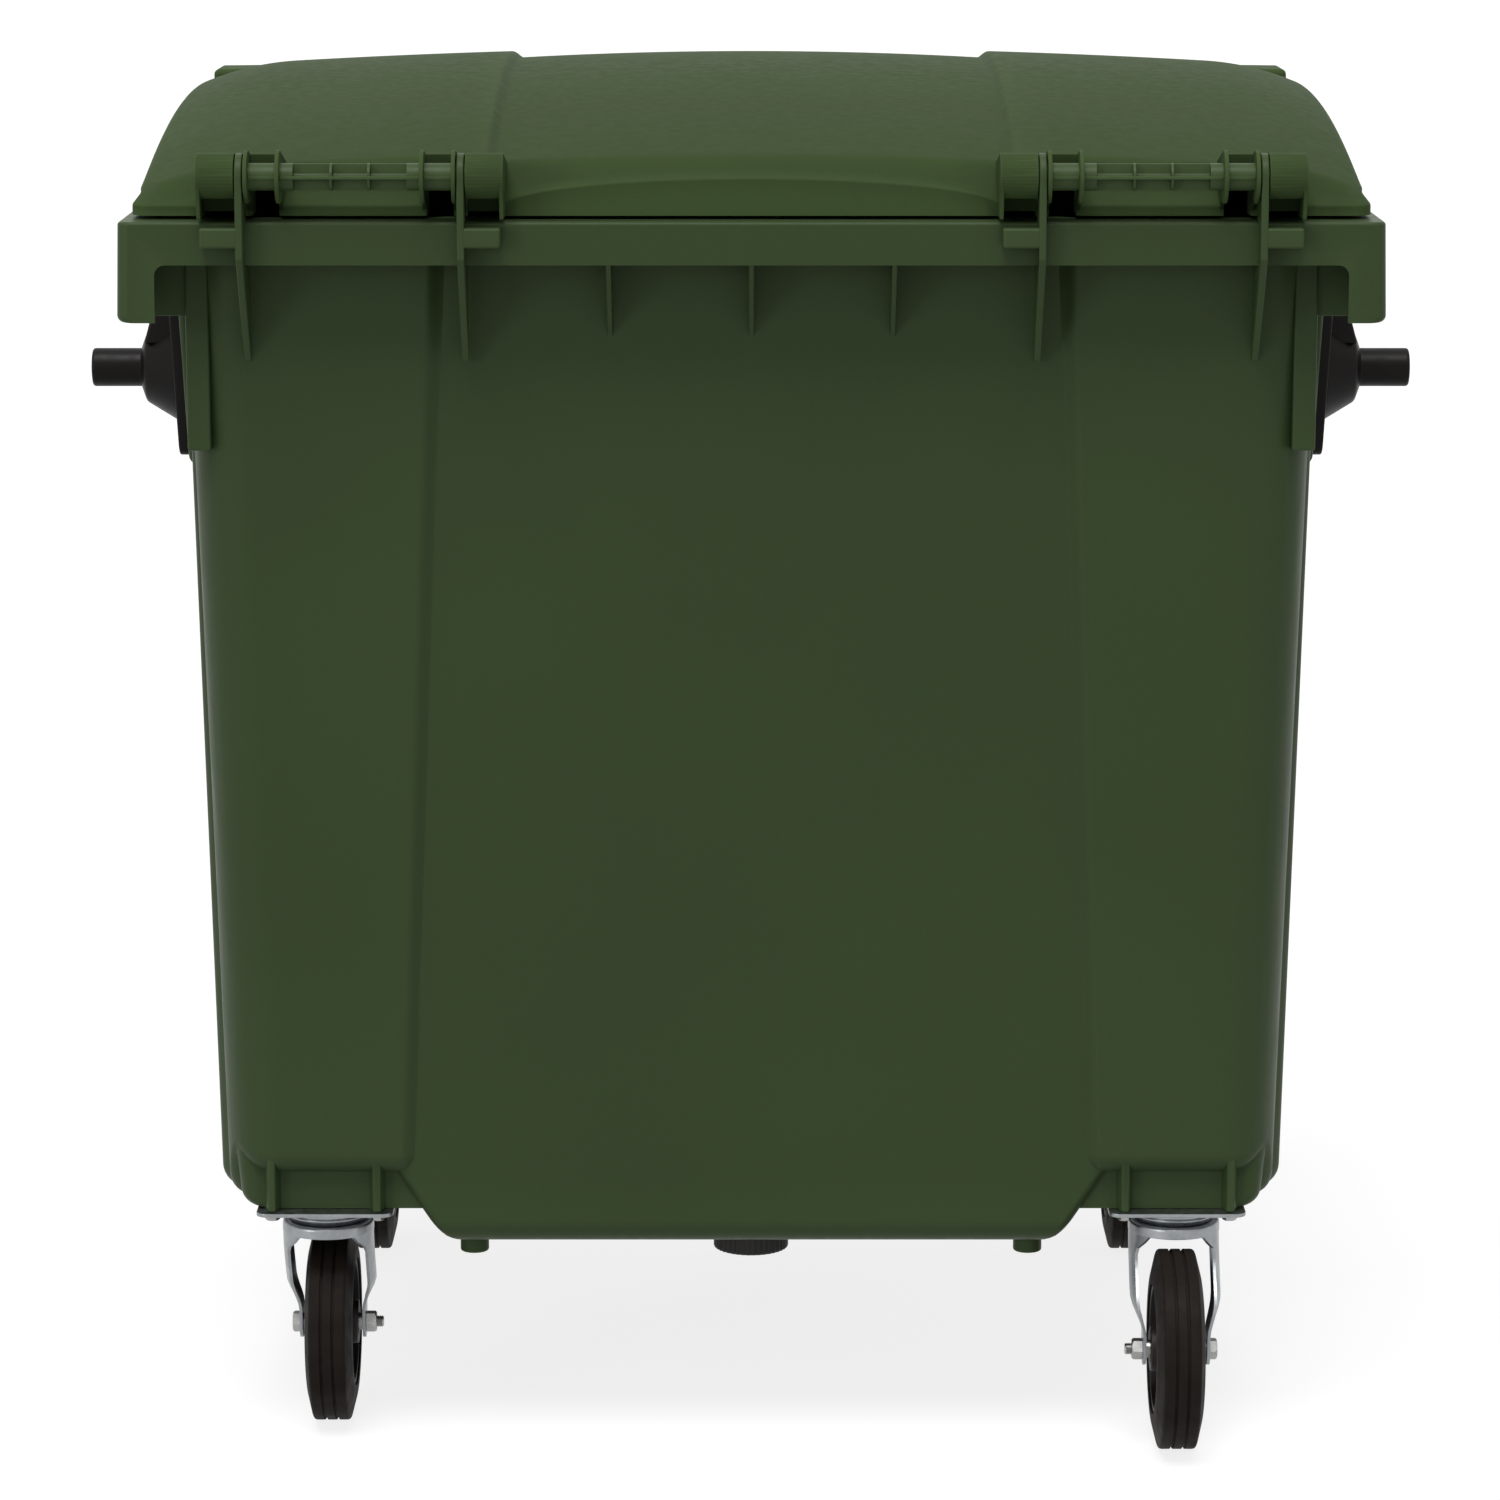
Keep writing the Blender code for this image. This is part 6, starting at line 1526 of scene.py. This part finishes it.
def plate_bolt_mesh():
    head_top = PLATE_LOW - CLEARANCE
    low = head_top - PLATE_BOLT_HEAD_HEIGHT
    head = hexagon("plate_bolt", PLATE_BOLT_HEAD_WIDTH, "Z", head_top, low, PLATE_BOLT_CHAMFER)
    top = BLOCK_LOW + PLATE_BOLT_GRIP
    return union(head, [cylinder("shank", PLATE_BOLT_RADIUS, "Z", head_top - SINK, top, SCREW_SIDES)])


def pedal_mesh():
    """A foot plate on two stub pins, with a shoe over the tread, drawn from its pivot."""
    half = FORK_INSIDE_WIDTH / 2 - RUNNING_GAP
    bend = PEDAL_REACH * PEDAL_FLAT_SHARE
    thick = PEDAL_SHEET / 2
    outline = [
        (-thick, -thick),
        (bend, -2 * thick),
        (PEDAL_REACH, -PEDAL_DROP - thick),
        (PEDAL_REACH, -PEDAL_DROP + thick),
        (bend, 0.0),
        (-thick, thick),
    ]
    pedal = bevelled(prism("pedal", outline, "X", -half, half), FIRM_EDGE)
    reach = FORK_INSIDE_WIDTH / 2 + FORK_SHEET
    stub = cylinder("stub", PEDAL_PIVOT_RADIUS, "X", -reach, reach, SCREW_SIDES)
    from_axle = PEDAL_PIVOT_AHEAD + PEDAL_SHOE_AHEAD
    tread = math.sqrt(WHEEL_RADIUS ** 2 - from_axle ** 2) + WHEEL_RADIUS
    shoe_low = tread + PEDAL_SHOE_GAP - (FORK_TOP - PEDAL_PIVOT_BELOW_TOP)
    start = PEDAL_SHOE_AHEAD - PEDAL_SHOE_LENGTH / 2
    low = (-TREAD_WIDTH / 2, start, shoe_low)
    shoe = bevelled(box("shoe", low, (TREAD_WIDTH / 2, start + PEDAL_SHOE_LENGTH, -thick)), THIN_EDGE, 2)
    ridges = []
    wide = half * PEDAL_RIDGE_LENGTH_SHARE
    for share in PEDAL_RIDGE_SHARES:
        y = PEDAL_REACH * share
        z = -PEDAL_DROP * (share - PEDAL_FLAT_SHARE) / (1.0 - PEDAL_FLAT_SHARE) + thick
        low = (-wide, y - PEDAL_RIDGE_HALF_WIDTH, z - SINK)
        ridges.append(box("ridge", low, (wide, y + PEDAL_RIDGE_HALF_WIDTH, z + PEDAL_RIDGE_RISE)))
    return union(pedal, [stub, shoe] + ridges)


def placed(source, turn, place, piece, node, slot, body):
    """A copy of a caster's piece, turned to its heading and moved to its corner."""
    obj = linked(piece, source.data.copy())
    obj.data.transform(Matrix.Translation(place) @ turn)
    dress(obj, piece, slot, body, [node])


def casters():
    """Four swivel casters; the two at the front have brakes."""
    plate = plate_mesh()
    bearing = bearing_mesh()
    forks = {braked: fork_mesh(braked) for braked in (False, True)}
    wheel = wheel_mesh()
    tyre = tyre_mesh()
    sleeve = sleeve_mesh()
    axle_bolt = axle_bolt_mesh()
    nut = axle_nut_mesh()
    plate_bolt = plate_bolt_mesh()
    pedal = pedal_mesh()
    swivel = (0.0, 0.0, 0.0)
    for corner, x, y, heading in CASTER_PLACES:
        braked = corner.startswith("front")
        turn = Matrix.Rotation(math.radians(heading), 4, "Z")
        fork_body = "fork_" + corner
        wheel_body = "wheel_" + corner
        pieces = [
            (plate, swivel, "top_plate_" + corner, "caster_plate_" + corner, "zinc_steel", "container"),
            (bearing, swivel, "race_" + corner, "swivel_bearing_" + corner, "zinc_steel", "container"),
            (forks[braked], swivel, "pressed_fork_" + corner, "fork_" + corner, "zinc_steel", fork_body),
            (tyre, AXLE, "rubber_tyre_" + corner, "tyre_" + corner, "tyre_rubber", wheel_body),
            (wheel, AXLE, "wheel_body_" + corner, "wheel_" + corner, "wheel_plastic", wheel_body),
            (sleeve, AXLE, "sleeve_" + corner, "axle_sleeve_" + corner, "bolt_steel", fork_body),
            (axle_bolt, AXLE, "long_bolt_" + corner, "axle_bolt_" + corner, "bolt_steel", fork_body),
            (nut, AXLE, "lock_nut_" + corner, "axle_nut_" + corner, "bolt_steel", fork_body),
        ]
        for number, hole in enumerate(plate_holes(), 1):
            end = f"{corner}_{number}"
            names = ("hex_bolt_" + end, "plate_bolt_" + end, "bolt_steel", "container")
            pieces.append((plate_bolt, (*hole, 0.0), *names))
        if braked:
            pedal_body = "brake_pedal_" + corner
            pieces.append((pedal, PEDAL_PIVOT, "foot_pedal_" + corner, pedal_body, "pedal_paint", pedal_body))
        for source, offset, *names in pieces:
            placed(source, turn, Vector((x, y, 0.0)) + turn @ Vector(offset), *names)
    for source in (plate, bearing, *forks.values(), wheel, tyre, sleeve, axle_bolt, nut, plate_bolt, pedal):
        bpy.data.objects.remove(source, do_unlink=True)


# Finishes

def new_material(name):
    material = bpy.data.materials.new(name)
    material.use_nodes = True
    tree = material.node_tree
    return material, tree, tree.nodes["Principled BSDF"]


def add_node(tree, kind, **settings):
    """Add a node; a setting whose name is an input's goes to that input."""
    node = tree.nodes.new(kind)
    for key, value in settings.items():
        if key in node.inputs:
            node.inputs[key].default_value = value
        else:
            setattr(node, key, value)
    return node


def noise(tree, coordinates, scale, detail, stretch=(1.0, 1.0, 1.0)):
    mapping = add_node(tree, "ShaderNodeMapping")
    mapping.inputs["Scale"].default_value = stretch
    tree.links.new(coordinates, mapping.inputs["Vector"])
    texture = add_node(tree, "ShaderNodeTexNoise", Scale=scale, Detail=detail)
    tree.links.new(mapping.outputs["Vector"], texture.inputs["Vector"])
    return texture.outputs["Fac"]


def ranged(tree, value, low, high, to_low, to_high):
    node = add_node(tree, "ShaderNodeMapRange")
    for name, number in (("From Min", low), ("From Max", high), ("To Min", to_low), ("To Max", to_high)):
        node.inputs[name].default_value = number
    tree.links.new(value, node.inputs["Value"])
    return node.outputs["Result"]


def dulled(tree, pattern, roughness, low, high, less, more):
    """A roughness that varies with a pattern."""
    return ranged(tree, pattern, low, high, roughness + less, roughness + more)


def shaded(tree, colour, factor):
    """A colour multiplied by a varying factor."""
    node = add_node(tree, "ShaderNodeVectorMath", operation="SCALE")
    node.inputs[0].default_value = colour
    tree.links.new(factor, node.inputs["Scale"])
    return node.outputs["Vector"]


def multiplied(tree, first, second):
    node = add_node(tree, "ShaderNodeMath", operation="MULTIPLY")
    tree.links.new(first, node.inputs[0])
    tree.links.new(second, node.inputs[1])
    return node.outputs["Value"]


def bump(tree, height, strength, distance, normal=None):
    node = add_node(tree, "ShaderNodeBump", Strength=strength, Distance=distance)
    tree.links.new(height, node.inputs["Height"])
    if normal:
        tree.links.new(normal, node.inputs["Normal"])
    return node.outputs["Normal"]


def moulded_plastic(name, colour, roughness, gloss, grain, edge_highlight):
    """Satin moulded plastic: slow colour drift, faint scuffs, a fine grain and a painted highlight that makes
    sharp edges paler.
    """
    material, tree, shader = new_material(name)
    coordinates = add_node(tree, "ShaderNodeTexCoord").outputs["Object"]
    drift = ranged(tree, noise(tree, coordinates, *DRIFT), *DRIFT_RANGE)
    speckle = ranged(tree, noise(tree, coordinates, *SPECKLE), *SPECKLE_RANGE)
    point = add_node(tree, "ShaderNodeNewGeometry").outputs["Pointiness"]
    # Painted highlight: sharp convex edges, found by pointiness, are made paler
    edge_highlight_factor = ranged(tree, point, EDGE_HIGHLIGHT_FROM, EDGE_HIGHLIGHT_TO, 1.0, 1.0 + edge_highlight)
    factor = multiplied(tree, multiplied(tree, drift, speckle), edge_highlight_factor)
    tree.links.new(shaded(tree, colour, factor), shader.inputs["Base Color"])
    scuffs = noise(tree, coordinates, *SCUFFS)
    tree.links.new(dulled(tree, scuffs, roughness, *PLASTIC_DULLNESS), shader.inputs["Roughness"])
    waves = bump(tree, noise(tree, coordinates, *WAVES), *WAVE_BUMP)
    fine = bump(tree, noise(tree, coordinates, grain, GRAIN_DETAIL), *GRAIN_BUMP, waves)
    tree.links.new(fine, shader.inputs["Normal"])
    shader.inputs["Specular IOR Level"].default_value = gloss
    return material


def plated_steel(name, colour, roughness, spangle):
    """Zinc-plated steel with faint crystals, soft rolling marks and small stains."""
    material, tree, shader = new_material(name)
    coordinates = add_node(tree, "ShaderNodeTexCoord").outputs["Object"]
    cells = add_node(tree, "ShaderNodeTexVoronoi", Scale=spangle)
    tree.links.new(coordinates, cells.inputs["Vector"])
    grey = ranged(tree, cells.outputs["Distance"], *SPANGLE_RANGE)
    stains = ranged(tree, noise(tree, coordinates, *STAINS), *STAIN_RANGE)
    tree.links.new(shaded(tree, colour, multiplied(tree, grey, stains)), shader.inputs["Base Color"])
    streaks = noise(tree, coordinates, *STREAKS)
    tree.links.new(dulled(tree, streaks, roughness, *STEEL_DULLNESS), shader.inputs["Roughness"])
    shader.inputs["Metallic"].default_value = 1.0
    tree.links.new(bump(tree, streaks, *STREAK_BUMP), shader.inputs["Normal"])
    return material


def solid_rubber(name, colour, roughness, grain):
    """Dull rubber with a leathery grain and dusty patches."""
    material, tree, shader = new_material(name)
    coordinates = add_node(tree, "ShaderNodeTexCoord").outputs["Object"]
    dust = ranged(tree, noise(tree, coordinates, *DUST), *DUST_RANGE)
    tree.links.new(shaded(tree, colour, dust), shader.inputs["Base Color"])
    spots = noise(tree, coordinates, *SPOTS)
    tree.links.new(dulled(tree, spots, roughness, *RUBBER_DULLNESS), shader.inputs["Roughness"])
    cells = add_node(tree, "ShaderNodeTexVoronoi", Scale=grain, feature="SMOOTH_F1")
    tree.links.new(coordinates, cells.inputs["Vector"])
    coarse = bump(tree, cells.outputs["Distance"], *CELL_BUMP)
    leather = noise(tree, coordinates, LEATHER_FINENESS * grain, LEATHER_DETAIL)
    fine = bump(tree, leather, *LEATHER_BUMP, coarse)
    tree.links.new(fine, shader.inputs["Normal"])
    shader.inputs["Specular IOR Level"].default_value = RUBBER_GLOSS
    return material


def make_finishes():
    for finish, kinds in ((moulded_plastic, PLASTICS), (solid_rubber, RUBBERS), (plated_steel, STEELS)):
        for slot, values in kinds.items():
            FINISHES[slot] = finish(slot, *values)


# Floor, light and camera

def is_seen(tree):
    """One for rays from the camera, from glossy surfaces and through glass, zero for the light itself."""
    path = add_node(tree, "ShaderNodeLightPath")
    total = path.outputs["Is Camera Ray"]
    for name in ("Is Glossy Ray", "Is Transmission Ray"):
        node = add_node(tree, "ShaderNodeMath", operation="MAXIMUM")
        tree.links.new(total, node.inputs[0])
        tree.links.new(path.outputs[name], node.inputs[1])
        total = node.outputs["Value"]
    return total


def floor():
    """A wide floor, white to the camera and pale to the light, that keeps the container's soft shadow."""
    reach = FLOOR_REACH
    points = [(-reach, -reach, 0.0), (reach, -reach, 0.0), (reach, reach, 0.0), (-reach, reach, 0.0)]
    plane = make_object("floor", points, [(0, 1, 2, 3)])
    material, tree, shader = new_material("pale_floor")
    shader.inputs["Base Color"].default_value = FLOOR_GREY
    shader.inputs["Roughness"].default_value = 1.0
    shader.inputs["Specular IOR Level"].default_value = 0.0
    shade = add_node(tree, "ShaderNodeBsdfDiffuse", Color=FLOOR_SHADE)
    glow = add_node(tree, "ShaderNodeEmission", Strength=FLOOR_GLOW)
    seen = add_node(tree, "ShaderNodeAddShader")
    mix = add_node(tree, "ShaderNodeMixShader")
    tree.links.new(shade.outputs["BSDF"], seen.inputs[0])
    tree.links.new(glow.outputs["Emission"], seen.inputs[1])
    tree.links.new(is_seen(tree), mix.inputs["Fac"])
    tree.links.new(shader.outputs["BSDF"], mix.inputs[1])
    tree.links.new(seen.outputs["Shader"], mix.inputs[2])
    tree.links.new(mix.outputs["Shader"], tree.nodes["Material Output"].inputs["Surface"])
    plane.data.materials.append(material)


def sky():
    world = bpy.data.worlds.new("studio")
    bpy.context.scene.world = world
    world.use_nodes = True
    tree = world.node_tree
    light = tree.nodes["Background"]
    light.inputs["Color"].default_value = (1.0, 1.0, 1.0, 1.0)
    strength = ranged(tree, is_seen(tree), 0.0, 1.0, SKY_LIGHT, 1.0)
    tree.links.new(strength, light.inputs["Strength"])


def sun(name, azimuth, elevation, strength, softness):
    """A soft distant lamp; azimuth 0 shines from the hinge side, 90 from +X."""
    data = bpy.data.lights.new(name, "SUN")
    data.energy = strength
    data.angle = math.radians(softness)
    lamp = linked(name, data)
    lamp.rotation_euler = (math.radians(90 - elevation), 0.0, math.radians(azimuth))


def camera():
    data = bpy.data.cameras.new("camera")
    data.lens = CAMERA_LENS
    data.sensor_width = CAMERA_SENSOR
    data.shift_x = CAMERA_SHIFT
    data.clip_end = CAMERA_REACH
    obj = linked("camera", data)
    obj.location = CAMERA_PLACE
    obj.rotation_euler = (math.radians(CAMERA_TILT), 0.0, 0.0)
    bpy.context.scene.camera = obj


def main():
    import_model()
    make_finishes()
    container_body()
    lid()
    for word, side in (("left", -1), ("right", 1)):
        hinge_rod(word, side)
        trunnion(word, side)
    drain_plug()
    drain_seal()
    casters()
    floor()
    sky()
    for name, values in LAMPS.items():
        sun(name, *values)
    camera()
    bpy.context.scene.view_settings.view_transform = "Standard"


main()
